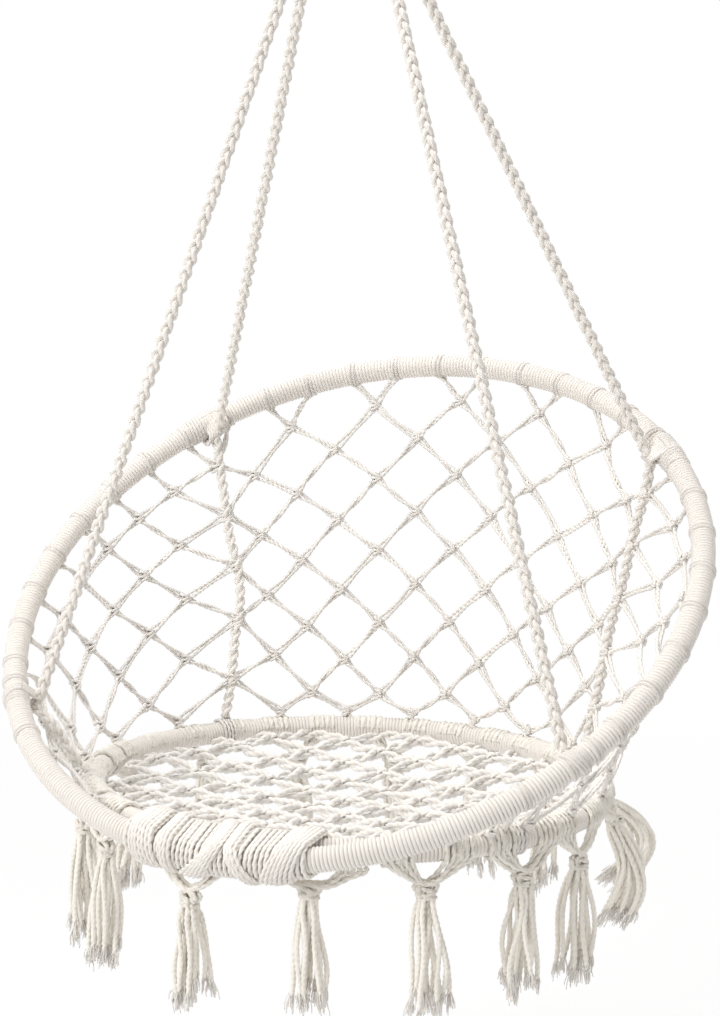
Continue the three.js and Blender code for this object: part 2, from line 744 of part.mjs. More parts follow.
// Tassels: each one solid of two swags, a knot and its strands. Near the binding they start
// below it.
const tasselClearAngle = 2 * bindingHalfAngle;
function tassel(degrees) {
  const bound = 180 - Math.abs(degrees) < tasselClearAngle;
  const under = wrapRadius + touchGap + (bound ? bindingDepth : 0);
  const across = Math.sin(THREE.MathUtils.degToRad(degrees));
  const out = tasselSideOut * across * across;
  const down = UP.clone().negate();
  const outward = seatRing.outward(degrees).setZ(0).normalize();
  const along = UP.clone().cross(outward).normalize();
  const knotTop = seatRing.at(degrees, out).addScaledVector(down, tasselDrop);
  const middle = knotTop.clone().addScaledVector(down, tasselKnotHeight / 2);
  const knotBottom = knotTop.clone().addScaledVector(down, tasselKnotHeight);
  const turn = THREE.MathUtils.radToDeg(tasselSwagReach / seatRing.radius);
  const solids = [tubeAlong([knotTop, knotBottom], tasselKnotWidth / 2, knotSides)];
  for (const sign of [-1, 1]) {
    const start = seatRing.at(degrees + sign * turn).addScaledVector(down, under);
    const run = middle.clone().sub(start).normalize();
    const level = Math.hypot(run.x, run.y);
    start.addScaledVector(down, (tasselSwagWidth / 2) * level);
    solids.push(tubeAlong([start, middle], tasselSwagWidth / 2, knotSides));
  }
  for (let k = 0; k < tasselStrands; k++) {
    const round = (2 * Math.PI * k) / tasselStrands;
    const aside = along.clone().multiplyScalar(Math.cos(round))
      .addScaledVector(outward, Math.sin(round));
    const near = (tasselKnotWidth - tasselStrandWidth) / 2;
    const from = middle.clone().addScaledVector(aside, near);
    const to = knotBottom.clone()
      .addScaledVector(down, tasselStrandLength)
      .addScaledVector(aside, tasselSpread);
    solids.push(tubeAlong([from, to], tasselStrandWidth / 2, strandSides));
  }
  return join(solids);
}
tasselAngles.forEach((degrees, k) => {
  addPiece(`tassel_${String(k + 1).padStart(2, "0")}`, tassel(degrees), tasselCotton);
});

export default chair;
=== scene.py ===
import math
import random
from collections import namedtuple

import bmesh
import bpy
import numpy as np
from bpy.props import FloatProperty, FloatVectorProperty, IntProperty, PointerProperty
from mathutils import Matrix, Vector


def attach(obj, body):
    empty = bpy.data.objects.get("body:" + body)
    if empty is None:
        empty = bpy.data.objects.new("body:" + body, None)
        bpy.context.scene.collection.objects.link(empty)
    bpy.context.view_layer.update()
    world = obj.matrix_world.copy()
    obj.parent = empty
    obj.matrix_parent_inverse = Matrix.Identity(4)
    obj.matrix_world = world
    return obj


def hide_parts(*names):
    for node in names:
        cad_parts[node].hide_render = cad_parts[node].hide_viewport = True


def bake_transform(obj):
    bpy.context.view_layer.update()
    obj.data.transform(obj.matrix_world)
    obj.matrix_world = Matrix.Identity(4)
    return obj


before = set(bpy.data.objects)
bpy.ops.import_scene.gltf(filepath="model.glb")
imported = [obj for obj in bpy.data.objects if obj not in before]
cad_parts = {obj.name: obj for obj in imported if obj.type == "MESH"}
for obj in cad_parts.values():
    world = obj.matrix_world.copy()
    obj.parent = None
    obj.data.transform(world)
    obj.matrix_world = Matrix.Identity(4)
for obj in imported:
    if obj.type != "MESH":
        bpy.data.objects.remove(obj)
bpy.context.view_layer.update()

bl_info = {
    "name": "Hammock chair",
    "version": (1, 0, 0),
    "blender": (4, 5, 0),
    "location": "View3D > Sidebar > Chair",
    "description": "Dresses a hanging macrame chair with wound, braided and knotted cotton",
    "category": "Object",
}

ACROSS = Vector((1, 0, 0))
FRONT = Vector((0, -1, 0))
UP = Vector((0, 0, 1))
FULL_TURN = 2 * math.pi
SIDES = (("left", -1), ("right", 1))

# Room between pieces that lie against each other.
GAP = 0.0003


# Sizes and colours


def length_of(default, name, description):
    return FloatProperty(name=name, description=description, default=default, unit="LENGTH")


def angle_of(degrees, name, description):
    default = math.radians(degrees)
    return FloatProperty(name=name, description=description, default=default, subtype="ANGLE")


def number_of(default, name, description):
    return FloatProperty(name=name, description=description, default=default)


def count_of(default, name, description):
    return IntProperty(name=name, description=description, default=default, min=1)


def colour_of(default, name, description):
    return FloatVectorProperty(
        name=name, description=description, default=default, subtype="COLOR", min=0, max=1
    )


class RingSizes(bpy.types.PropertyGroup):
    """The two wrapped rings and the steel ring that the chair hangs by."""

    hanging_inside: length_of(0.06, "Hanging ring", "Inside width of the hanging ring")
    hanging_bar: length_of(0.008, "Hanging bar", "Diameter of the hanging ring's bar")
    back_outside: length_of(0.8, "Back ring", "Outside width of the back ring")
    back_drop: length_of(0.866, "Back ring drop", "Its centre below the hook")
    back_setback: length_of(0.026, "Back ring setback", "Its centre behind the hook")
    back_tilt: angle_of(35.1, "Back ring tilt", "Rise of the back ring to its rear")
    seat_outside: length_of(0.592, "Seat ring", "Outside width of the seat ring")
    seat_tilt: angle_of(-1.1, "Seat ring tilt", "Rise of the seat ring to its rear")
    perch: angle_of(19.5, "Perch", "Slope from the back ring's front up to the seat ring's")
    tube: length_of(0.02, "Tube", "Diameter of the steel tube in both rings")
    wrap: length_of(0.0033, "Wrap", "Thickness of the wrap on the tube")
    turn: length_of(0.0041, "Turn", "Room that one turn of the wrap takes along the ring")


class RopeSizes(bpy.types.PropertyGroup):
    """The braided ropes, their turns about the back ring and the stays below them."""

    diameter: length_of(0.013, "Rope", "Diameter of the braided rope")
    spread: angle_of(18.7, "Spread", "Lean of the doubled ropes from the vertical")
    doubled: length_of(0.063, "Doubled part", "From the hanging ring to the whipping's middle")
    whipping: length_of(0.026, "Whipping", "Length of the whipping")
    rear: angle_of(48.5, "Rear ropes", "Place on the back ring, from its rear")
    front: angle_of(123.5, "Front ropes", "Place on the back ring, from its rear")
    braid_pitch: length_of(0.046, "Braid", "Length in which a strand comes back to its side")
    tie_cord: length_of(0.0045, "Tie cord", "Diameter of the cord in the ties")
    front_turns: count_of(6, "Front turns", "Turns of cord on the ring at each front rope")
    rear_turns: count_of(9, "Rear turns", "Turns of cord on the ring beside each rear rope")
    stay_bow: number_of(1.6, "Stay bow", "Degrees of the stays' bow")


class NetSizes(bpy.types.PropertyGroup):
    """The knotted net of the back."""

    cord: length_of(0.0046, "Cord", "Diameter of one of a leg's two cords")
    knot: length_of(0.0132, "Knot", "Width of a knot")
    stay_knot: length_of(0.0165, "Stay knot", "Width of a knot round a stay")
    pitch: number_of(8.2, "Pitch", "Degrees between columns")
    side_pitch: number_of(8.8, "Side pitch", "Degrees between side knots")
    side_spread: number_of(1.0, "Side spread", "More degrees a row")
    reach: number_of(141.0, "Reach", "Degrees from the rear to each end")
    row_rear: length_of(0.045, "Rear row", "From one row to the next at the rear")
    row_side: length_of(0.0315, "Side row", "Half of the way from a side's row to the next")
    first_rear: length_of(0.028, "First rear row", "From the back ring to the first row")
    first_side: length_of(0.038, "First side row", "From the back ring to a side's first row")
    last: length_of(0.022, "Last row", "Least room between the free knots and the seat ring")
    slip: number_of(7.0, "Slip", "Degrees that the left foot has slipped")
    stay_column: count_of(6, "Stay column", "Column on which the rear stays lie")


class SeatNetSizes(bpy.types.PropertyGroup):
    """The knotted net that is sat on."""

    cord: length_of(0.0073, "Cord", "Diameter of one of a leg's two cords")
    knot: length_of(0.0135, "Knot", "Width of a knot")
    pitch: length_of(0.086, "Pitch", "Between the knots of a row")
    row: length_of(0.038, "Row", "From one row to the next")
    turn: angle_of(25, "Turn", "How far the rows lie turned, their right end to the rear")
    sag: length_of(0.022, "Sag", "Drop of the net's middle")
    last: length_of(0.02, "Last row", "Least room between the last knots and the ring")
    plain_rear: number_of(95.0, "Plain rear", "Degrees from the rear without hitches")


class FringeSizes(bpy.types.PropertyGroup):
    """The tassels and the binding of the two rings at the front."""

    cord: length_of(0.0057, "Cord", "Diameter of a tassel's cord")
    drop: length_of(0.038, "Drop", "From the ring's centre line to the tassel's knot")
    low_knot: length_of(0.024, "Low knot", "How much lower the tassel at the binding's left hangs")
    knot_height: length_of(0.012, "Knot height", "Height of the gathering knot")
    knot_width: length_of(0.0205, "Knot width", "Width of the gathering knot")
    side_out: length_of(0.01, "Side out", "Tassels at the sides hang this much further out")
    swag_reach: length_of(0.03, "Swag", "From the knot to each swag's start, along the ring")
    strand: length_of(0.104, "Strand", "Length of the strands below the knot")
    spread: length_of(0.0165, "Spread", "How far the strands have spread at their ends")
    blown: length_of(0.045, "Blown", "How far the strands at the right's rear bow outward")
    strands: count_of(12, "Strands", "Strands in a tassel")
    binding_cord: length_of(0.0052, "Binding cord", "Diameter of the cord that binds the rings")
    binding_half: angle_of(15.2, "Binding", "Half of the bound arc of the back ring")


class Finishes(bpy.types.PropertyGroup):
    """Colours of the cotton and steel, and of the shade painted into the cotton's hollows."""

    wrap: colour_of((0.89, 0.86, 0.82), "Wrap", "Cotton of the wound rings")
    rope: colour_of((0.94, 0.91, 0.865), "Rope", "Cotton of the ropes")
    net: colour_of((0.97, 0.945, 0.905), "Net", "Cotton of the nets and of the frayed ends")
    binding: colour_of((0.99, 0.955, 0.905), "Binding", "Cotton of the binding of the two rings")
    # Darker and warmer than the other cotton: partly the tassels' own warmer tone, partly painted
    # shade on the low-hanging strands.
    tassel: colour_of((0.84, 0.775, 0.69), "Tassel", "Cotton of the tassels")
    # Painted shade: a warm brown painted into the hollows between a cord's plies, where shade falls.
    painted_hollow_shade: colour_of((0.42, 0.3, 0.19), "Hollow", "Cotton between the plies of a cord")
    steel: colour_of((0.56, 0.57, 0.58), "Steel", "The hanging ring")


GROUPS = {
    "chair_rings": RingSizes,
    "chair_ropes": RopeSizes,
    "chair_net": NetSizes,
    "chair_seat_net": SeatNetSizes,
    "chair_fringe": FringeSizes,
    "chair_finishes": Finishes,
}


# Places


def rearward(tilt):
    """The way to the rear, raised by an angle."""
    return Vector((0, math.cos(tilt), math.sin(tilt)))


class Ring:
    """A ring of tube, with places by degrees from its rear towards the right."""

    def __init__(self, centre, radius, tilt):
        self.centre = Vector(centre)
        self.radius = radius
        self.to_rear = rearward(tilt)
        self.normal = Vector((0, -math.sin(tilt), math.cos(tilt)))
        self.per_degree = math.radians(radius)

    def outward(self, degrees):
        turn = math.radians(degrees)
        return ACROSS * math.sin(turn) + self.to_rear * math.cos(turn)

    def along(self, degrees):
        return self.outward(degrees + 90)

    def at(self, degrees, out=0.0, up=0.0):
        return self.centre + self.outward(degrees) * (self.radius + out) + self.normal * up

    def around(self, degrees, section, reach):
        """A place beside the tube; section turns from outward over the top to inward."""
        return self.at(degrees, reach * math.cos(section), reach * math.sin(section))


class Chair:
    """The chair's main places, worked out from its sizes."""

    def __init__(self, scene):
        rings, self.ropes, self.net = scene.chair_rings, scene.chair_ropes, scene.chair_net
        self.wrap = rings.tube / 2 + rings.wrap
        self.back = Ring(
            (0, rings.back_setback, -rings.back_drop),
            rings.back_outside / 2 - self.wrap,
            rings.back_tilt,
        )
        self.seat_front = self.back.at(180) + rearward(rings.perch) * (2 * self.wrap + GAP)
        radius = rings.seat_outside / 2 - self.wrap
        centre = self.seat_front + rearward(rings.seat_tilt) * radius
        self.seat = Ring(centre, radius, rings.seat_tilt)
        self.rope = self.ropes.diameter / 2
        self.hang_centre = Vector((0, 0, -rings.hanging_inside / 2))
        self.hang_radius = (rings.hanging_inside + rings.hanging_bar) / 2
        self.bar = rings.hanging_bar / 2

    def rope_top(self, sign):
        """Middles of the bar and the whipping, the way down through them, and a leg's offset."""
        lean = self.ropes.spread * sign
        down = Vector((math.sin(lean), 0, -math.cos(lean)))
        bar = self.hang_centre + down * self.hang_radius
        return bar, bar + down * self.ropes.doubled, down, self.rope + GAP / 2

    def on_leg(self, end, sign, drop):
        """A place on a leg of the doubled rope, by its drop below the whipping's middle."""
        _, middle, down, offset = self.rope_top(sign)
        return middle + down * drop + FRONT * (offset if end == "front" else -offset)

    def rope_leaves(self, end, sign):
        """Where a leg of rope leaves the whipping."""
        return self.on_leg(end, sign, self.ropes.whipping / 2 + self.rope / 2)

    def rope_meets(self, end, sign):
        """Where a leg of rope passes the back ring: degrees, and along, facing and inner there."""
        degrees = sign * math.degrees(self.ropes.front if end == "front" else self.ropes.rear)
        along = self.back.along(degrees)
        to_rope = self.rope_leaves(end, sign) - self.back.at(degrees)
        facing = (to_rope - along * to_rope.dot(along)).normalized()
        inner = along.cross(facing)
        if inner.dot(self.back.outward(degrees)) > 0:
            inner.negate()
        return degrees, along, facing, inner

    def rope_foot(self, end, sign):
        """The foot of a leg of rope, against the inside of the back ring."""
        degrees, _, _, inner = self.rope_meets(end, sign)
        stand = self.wrap + self.rope + (self.ropes.tie_cord if end == "front" else GAP)
        return self.back.at(degrees) + inner * stand

    def net_line(self, degrees):
        """The net's line from ring to ring: its top, down, inward, across, start and length."""
        top = self.back.at(degrees)
        down = self.seat.at(degrees) - top
        span = down.length
        down.normalize()
        ways = self.back.along(degrees), self.seat.along(degrees)
        inward = (ways[0] + ways[1]).cross(down).normalized()
        if inward.dot(self.back.outward(degrees)) > 0:
            inward.negate()
        start, end = ((self.wrap + GAP) / down.cross(way).length for way in ways)
        return top, down, inward, inward.cross(down), start, span - start - end

    def on_net(self, degrees, drop, inside=0.0):
        top, down, inward, _, start, _ = self.net_line(degrees)
        return top + down * (start + drop) + inward * inside

    def net_shares(self, points):
        """How far down its net line each point lies: 0 at the back ring, 1 at the seat ring."""
        share = np.full(len(points), 0.5)
        back, seat = self.back, self.seat
        x, y, z = points.T
        for _ in range(8):
            radius = back.radius * (1 - share) + seat.radius * share
            middle = back.centre.y * (1 - share) + seat.centre.y * share
            depth = back.radius * back.to_rear.y * (1 - share) + seat.radius * share
            turn = np.arctan2(x / radius, (y - middle) / depth)
            high = back.centre.z + back.radius * back.to_rear.z * np.cos(turn)
            low = seat.centre.z + seat.radius * seat.to_rear.z * np.cos(turn)
            share = np.clip((high - z) / (high - low), 0, 1)
        return share

    def slipped(self, degrees, share):
        """The left side of the net has slipped towards the front near its foot."""
        if degrees > -self.net.stay_column * self.net.pitch:
            return degrees
        return degrees - self.net.slip * max(share - 0.6, 0) / 0.4

    def stay_angle(self, end, sign, share):
        """Where a stay lies: a rear one in its column, bowed a little towards the rear."""
        if end == "front":
            return sign * math.degrees(self.ropes.front)
        column = self.net.stay_column * self.net.pitch
        bow = self.ropes.stay_bow * math.sin(math.pi * share)
        return self.slipped(sign * column, share) - sign * bow

    def stay_inside(self, share):
        """How far inside the net a stay lies, less towards its foot."""
        return (self.rope + 0.003) * (1.15 - 0.75 * share)


# Cords

# Reaches of a cord's outline, evenly round it.
SECTIONS = {
    "round": (1,) * 8,
    "fibre": (1,) * 3,
    "two_ply": (1, 0.9, 0.62, 0.9) * 2,
    "spun": (1, 0.92, 0.74, 0.92) * 2,
    "strand": (1, 0.86, 0.86) * 3,
}

# Turns a metre of the plies in the cords of ties and knots.
TIE_TWIST = 70
KNOT_TWIST = 60

# A plait's steps in a pitch, and its strands as shares of the rope's radius: how far each swings
# wide and deep, and its own radius.
PLAIT_STEPS = 28
PLAIT_WIDE = 0.55
PLAIT_DEEP = 0.42
STRAND_SHARE = 0.55


def lengths_along(path):
    """How far along a path each of its points lies."""
    return np.concatenate([[0], np.cumsum(np.linalg.norm(np.diff(path, axis=0), axis=1))])


def smooth_path(points, step):
    """A smooth path through some places, cut into even steps."""
    path = np.array([tuple(p) for p in points], float)
    if len(path) > 2:
        wide = np.vstack([2 * path[0] - path[1], path, 2 * path[-1] - path[-2]])
        a, b, c, d = (wide[k : len(wide) - 3 + k, None] for k in range(4))
        u = np.linspace(0, 1, 12, endpoint=False)[None, :, None]
        bent = 0.5 * (
            2 * b + (c - a) * u + (2 * a - 5 * b + 4 * c - d) * u**2
            + (3 * b - a - 3 * c + d) * u**3
        )
        path = np.vstack([bent.reshape(-1, 3), path[-1]])
    gone = lengths_along(path)
    even = np.linspace(0, gone[-1], max(2, round(gone[-1] / step)) + 1)
    return np.stack([np.interp(even, gone, path[:, k]) for k in range(3)], 1)


def unit(vectors):
    return vectors / np.linalg.norm(vectors, axis=-1, keepdims=True)


def beside(path):
    """Two directions square to a path at each of its points, with no needless turn."""
    heading = unit(np.gradient(path, axis=0))
    start = (0, 0, 1) if abs(heading[0][2]) < 0.9 else (1, 0, 0)
    side = np.empty_like(path)
    side[0] = unit(np.cross(heading[0], start))
    for k in range(1, len(path)):
        carried = side[k - 1] - heading[k] * (side[k - 1] @ heading[k])
        side[k] = carried / math.sqrt(carried @ carried)
    return side, np.cross(heading, side)


def wound(turns, steps=14):
    """Step by step through some turns of a cord: the turns gone by, and their angle."""
    for k in range(turns * steps + 1):
        yield k / steps, FULL_TURN * k / steps


def cord(points, diameter, twist=0.0, step=0.0, phase=0.0, taper=None):
    """One cord for a mesh of cords: its path, the radius there, and its plies' turn."""
    path = smooth_path(points, step or diameter * 0.55)
    gone = lengths_along(path)
    radius = np.full(len(path), diameter / 2)
    if taper is not None:
        radius = radius * np.interp(gone / gone[-1], *zip(*taper))
    return path, radius, gone * twist * FULL_TURN + phase


def braid(points, radius, pitch):
    """Three strands plaited: each swings from side to side, over one and under the next."""
    path = smooth_path(points, pitch / PLAIT_STEPS)
    side, over = beside(path)
    gone = lengths_along(path)
    phi = FULL_TURN * gone / pitch
    roll = 0.3 * np.sin(gone * 7)
    made = []
    for k in range(3):
        turn = phi + FULL_TURN * k / 3
        wide = PLAIT_WIDE * radius * np.sin(turn)
        deep = PLAIT_DEEP * radius * np.sin(2 * turn)
        line = path + over * (wide * np.cos(roll) - deep * np.sin(roll))[:, None]
        line += side * (wide * np.sin(roll) + deep * np.cos(roll))[:, None]
        loose = 1 + 0.06 * np.sin(1.7 * phi + 2 * k)
        made.append((line, STRAND_SHARE * radius * loose, 2.2 * phi))
    return made


def finished_mesh(shape, mesh, near=1e-7):
    """Puts a bmesh into a mesh: smooth, its doubles merged and its faces turned outwards."""
    bmesh.ops.remove_doubles(shape, verts=shape.verts, dist=near)
    bmesh.ops.recalc_face_normals(shape, faces=shape.faces)
    for face in shape.faces:
        face.smooth = True
    shape.to_mesh(mesh)
    shape.free()
    return mesh


def cord_mesh(name, cords, section):
    """A mesh of many cords of one section, with closed ends."""
    outline = bpy.data.curves.new(name + "_section", "CURVE")
    reaches = SECTIONS[section]
    loop = outline.splines.new("POLY")
    loop.points.add(len(reaches) - 1)
    loop.use_cyclic_u = True
    for k, reach in enumerate(reaches):
        turn = FULL_TURN * k / len(reaches)
        loop.points[k].co = (reach * math.cos(turn), reach * math.sin(turn), 0, 1)
    pattern = bpy.data.objects.new(name + "_section", outline)
    curve = bpy.data.curves.new(name + "_lines", "CURVE")
    curve.dimensions = "3D"
    curve.bevel_mode = "OBJECT"
    curve.bevel_object = pattern
    curve.use_fill_caps = True
    for path, radius, tilt in cords:
        spline = curve.splines.new("POLY")
        spline.points.add(len(path) - 1)
        places = np.ones((len(path), 4), np.float32)
        places[:, :3] = path
        spline.points.foreach_set("co", places.ravel())
        spline.points.foreach_set("radius", radius.astype(np.float32))
        spline.points.foreach_set("tilt", tilt.astype(np.float32))
    lines = bpy.data.objects.new(name + "_lines", curve)
    for made in (pattern, lines):
        bpy.context.scene.collection.objects.link(made)
    graph = bpy.context.evaluated_depsgraph_get()
    mesh = bpy.data.meshes.new_from_object(lines.evaluated_get(graph))
    mesh.name = name
    for made in (lines, pattern):
        data = made.data
        bpy.data.objects.remove(made)
        bpy.data.curves.remove(data)
    shape = bmesh.new()
    shape.from_mesh(mesh)
    return finished_mesh(shape, mesh)


def add_piece(name, mesh, finish, body=None, replaced=()):
    """A finished piece, in place, with its finish and body, hiding the CAD nodes it stands for."""
    mesh.materials.clear()
    mesh.materials.append(finish_of(finish))
    piece = bpy.data.objects.new(name, mesh)
    bpy.context.scene.collection.objects.link(piece)
    if replaced:
        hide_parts(*replaced)
    if body:
        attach(piece, body)
    return piece


def add_cords(name, section, cords, finish, body=None, replaced=()):
    """A finished piece of cords of one section."""
    return add_piece(name, cord_mesh(name, cords, section), finish, body, replaced)


def bend_down_net(chair, piece):
    """Bakes the piece in place and works out how far down its net line each of its points lies."""
    rise = chair.back.at(0).z
    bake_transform(piece)
    points = np.empty(len(piece.data.vertices) * 3, np.float32)
    piece.data.vertices.foreach_get("co", points)
    share = chair.net_shares(points.reshape(-1, 3).astype(float))
    share = share * share * (3 - 2 * share)


# Finishes


class Value:
    """A socket in shader maths: an expression on values adds its Math nodes."""

    def __init__(self, tree, socket):
        self.tree = tree
        self.socket = socket

    def maths(self, operation, *others):
        made = self.tree.nodes.new("ShaderNodeMath")
        made.operation = operation
        for socket, given in zip(made.inputs, (self, *others)):
            if isinstance(given, Value):
                self.tree.links.new(given.socket, socket)
            else:
                socket.default_value = given
        return Value(self.tree, made.outputs[0])

    def __add__(self, other):
        return self.maths("ADD", other)

    def __mul__(self, other):
        return self.maths("MULTIPLY", other)

    def __sub__(self, other):
        return self.maths("SUBTRACT", other)

    def __rsub__(self, other):
        return (self * -1) + other

    def __pow__(self, other):
        return self.maths("POWER", other)

    __radd__ = __add__
    __rmul__ = __mul__

    def cosine(self):
        return self.maths("COSINE")

    def size(self):
        return self.maths("ABSOLUTE")

    def or_more(self, other):
        return self.maths("MAXIMUM", other)

    def clipped(self):
        return self.or_more(0.0).maths("MINIMUM", 1.0)


class Finish:
    """The nodes of a material or a world."""

    def __init__(self, owner):
        self.owner = owner
        owner.use_nodes = True
        self.tree = owner.node_tree
        self.tree.nodes.clear()

    def node(self, kind, inputs, output=0, stops=None, **settings):
        """Adds a node, with its settings first, and gives one of its outputs."""
        made = self.tree.nodes.new(kind)
        for name, value in settings.items():
            setattr(made, name, value)
        for k, (place, colour) in enumerate(stops or ()):
            steps = made.color_ramp.elements
            stop = steps[k] if k < len(steps) else steps.new(place)
            stop.position, stop.color = place, colour
        for name, value in inputs.items():
            if isinstance(value, Value):
                self.tree.links.new(value.socket, made.inputs[name])
            else:
                made.inputs[name].default_value = value
        return Value(self.tree, made.outputs[output]) if made.outputs else made

    def places(self):
        return self.node("ShaderNodeTexCoord", {}, output="Object")

    def ray(self, kind):
        return self.node("ShaderNodeLightPath", {}, output=f"Is {kind} Ray")

    def noise(self, scale, detail=2.0, stretch=(1, 1, 1)):
        spot = self.node("ShaderNodeMapping", {"Vector": self.places(), "Scale": stretch})
        return self.node(
            "ShaderNodeTexNoise", {"Vector": spot, "Scale": scale, "Detail": detail}
        )

    def mixed(self, share, first, second):
        """A colour between two others, on the sockets that a Mix node has for colours."""
        return self.node("ShaderNodeMix", {0: share, 6: first, 7: second}, 2, data_type="RGBA")

    def either(self, share, first, second):
        return self.node("ShaderNodeMixShader", {0: share, 1: first, 2: second})

    def done(self, bump, distance, inputs):
        normal = self.node(
            "ShaderNodeBump", {"Strength": 0.45, "Distance": distance, "Height": bump}
        )
        shader = self.node("ShaderNodeBsdfPrincipled", {**inputs, "Normal": normal})
        self.node("ShaderNodeOutputMaterial", {"Surface": shader})
        return self.owner


def cotton(name, colour, painted_hollow_shade, plies, depth=0.55, sharp=0.5):
    """Spun cotton: pale crowns, painted shade in the hollows between the plies, stray fibres and
    soiling.
    """
    finish = Finish(bpy.data.materials.new(name))
    light = (*colour, 1)
    # Painted shade: the cotton's colour taken part way, by depth, towards the warm brown painted
    # into the hollows. A slightly warmer tone, a little of the way towards it, is for random
    # blotches.
    painted_shade_colour = (*[c + (h - c) * depth for c, h in zip(colour, painted_hollow_shade)], 1)
    warm = (*[c + (h - c) * 0.12 for c, h in zip(colour, painted_hollow_shade)], 1)
    blotches = finish.noise(38, 3)
    fibres = finish.noise(1400, 2)
    # Without plies, only fine fibre noise mixes in up to 30% of the painted shade colour.
    crown = fibres * 0.3 + 0.7
    # With plies, painted shade: the colour darkens towards the painted shade colour in the hollows
    # between the plies, all along each cord.
    if plies:
        uv = finish.node("ShaderNodeUVMap", {}, uv_map="UVMap")
        round_cord = finish.node("ShaderNodeSeparateXYZ", {"Vector": uv}, output="Y")
        ridge = (round_cord * (math.pi * plies)).cosine().size()
        crown = (ridge**sharp + fibres * 0.2 - 0.05).clipped()
    inputs = {
        "Base Color": finish.mixed(crown, painted_shade_colour, finish.mixed(blotches, light, warm)),
        "Roughness": fibres * 0.12 + 0.82,
        "Sheen Weight": 0.25,
        "Sheen Roughness": 0.6,
        "Specular IOR Level": 0.2,
    }
    return finish.done(fibres + finish.noise(420, 2) * 0.7, 0.0004, inputs)


def bare_steel(name, colour):
    """Plated steel with faint draw marks and dull patches."""
    finish = Finish(bpy.data.materials.new(name))
    marks = finish.noise(500, 3, (1, 1, 6))
    patches = finish.noise(60, 3)
    inputs = {
        "Base Color": finish.mixed(patches, (*[c * 0.8 for c in colour], 1), (*colour, 1)),
        "Metallic": 1.0,
        "Roughness": marks * 0.15 + patches * 0.1 + 0.2,
    }
    return finish.done(marks, 0.0001, inputs)


def finish_of(name):
    """One of the chair's materials, made when it is first asked for."""
    if name in bpy.data.materials:
        return bpy.data.materials[name]
    colours = bpy.context.scene.chair_finishes
    painted_hollow_shade = tuple(colours.painted_hollow_shade)
    # A darker painted shade for the tassels' hollows, taken all the way in them.
    deep = tuple(0.5 * share for share in painted_hollow_shade)
    make, *given = {
        "wound_cotton": (cotton, colours.wrap, painted_hollow_shade, 0),
        "braided_cotton": (cotton, colours.rope, painted_hollow_shade, 3, 0.35),
        "twisted_cotton": (cotton, colours.net, painted_hollow_shade, 2, 0.38),
        "binding_cotton": (cotton, colours.binding, painted_hollow_shade, 2, 0.32),
        "tassel_cotton": (cotton, colours.tassel, deep, 2, 1.0, 1.9),
        "frayed_cotton": (cotton, colours.net, painted_hollow_shade, 0),
        "plated_steel": (bare_steel, colours.steel),
    }[name]
    return make(name, *given)


# Stage

FLOOR_HEIGHT = -1.56
CHAIR_MIDDLE = Vector((0, 0, -0.8))
WHITE = (1, 1, 1, 1)

# Each light's name, place, size and power.
LIGHTS = (
    ("key_light", (-2.4, -4.4, 1.4), 1.8, 130),
    ("top_light", (-0.2, 0.0, 2.1), 1.8, 57),
    ("fill_light", (2.2, -1.6, -0.2), 2.0, 2),
    ("rear_light", (0.8, 2.4, 0.9), 1.6, 14),
)

# The camera, fitted to the photo's rings and ropes.
CAMERA_PLACE = (1.0088, -2.1708, -0.4441)
CAMERA_AHEAD = (-0.4101, 0.9017, -0.1371)
CAMERA_ROLL = math.radians(0.55)
CAMERA_LENS = 78.9


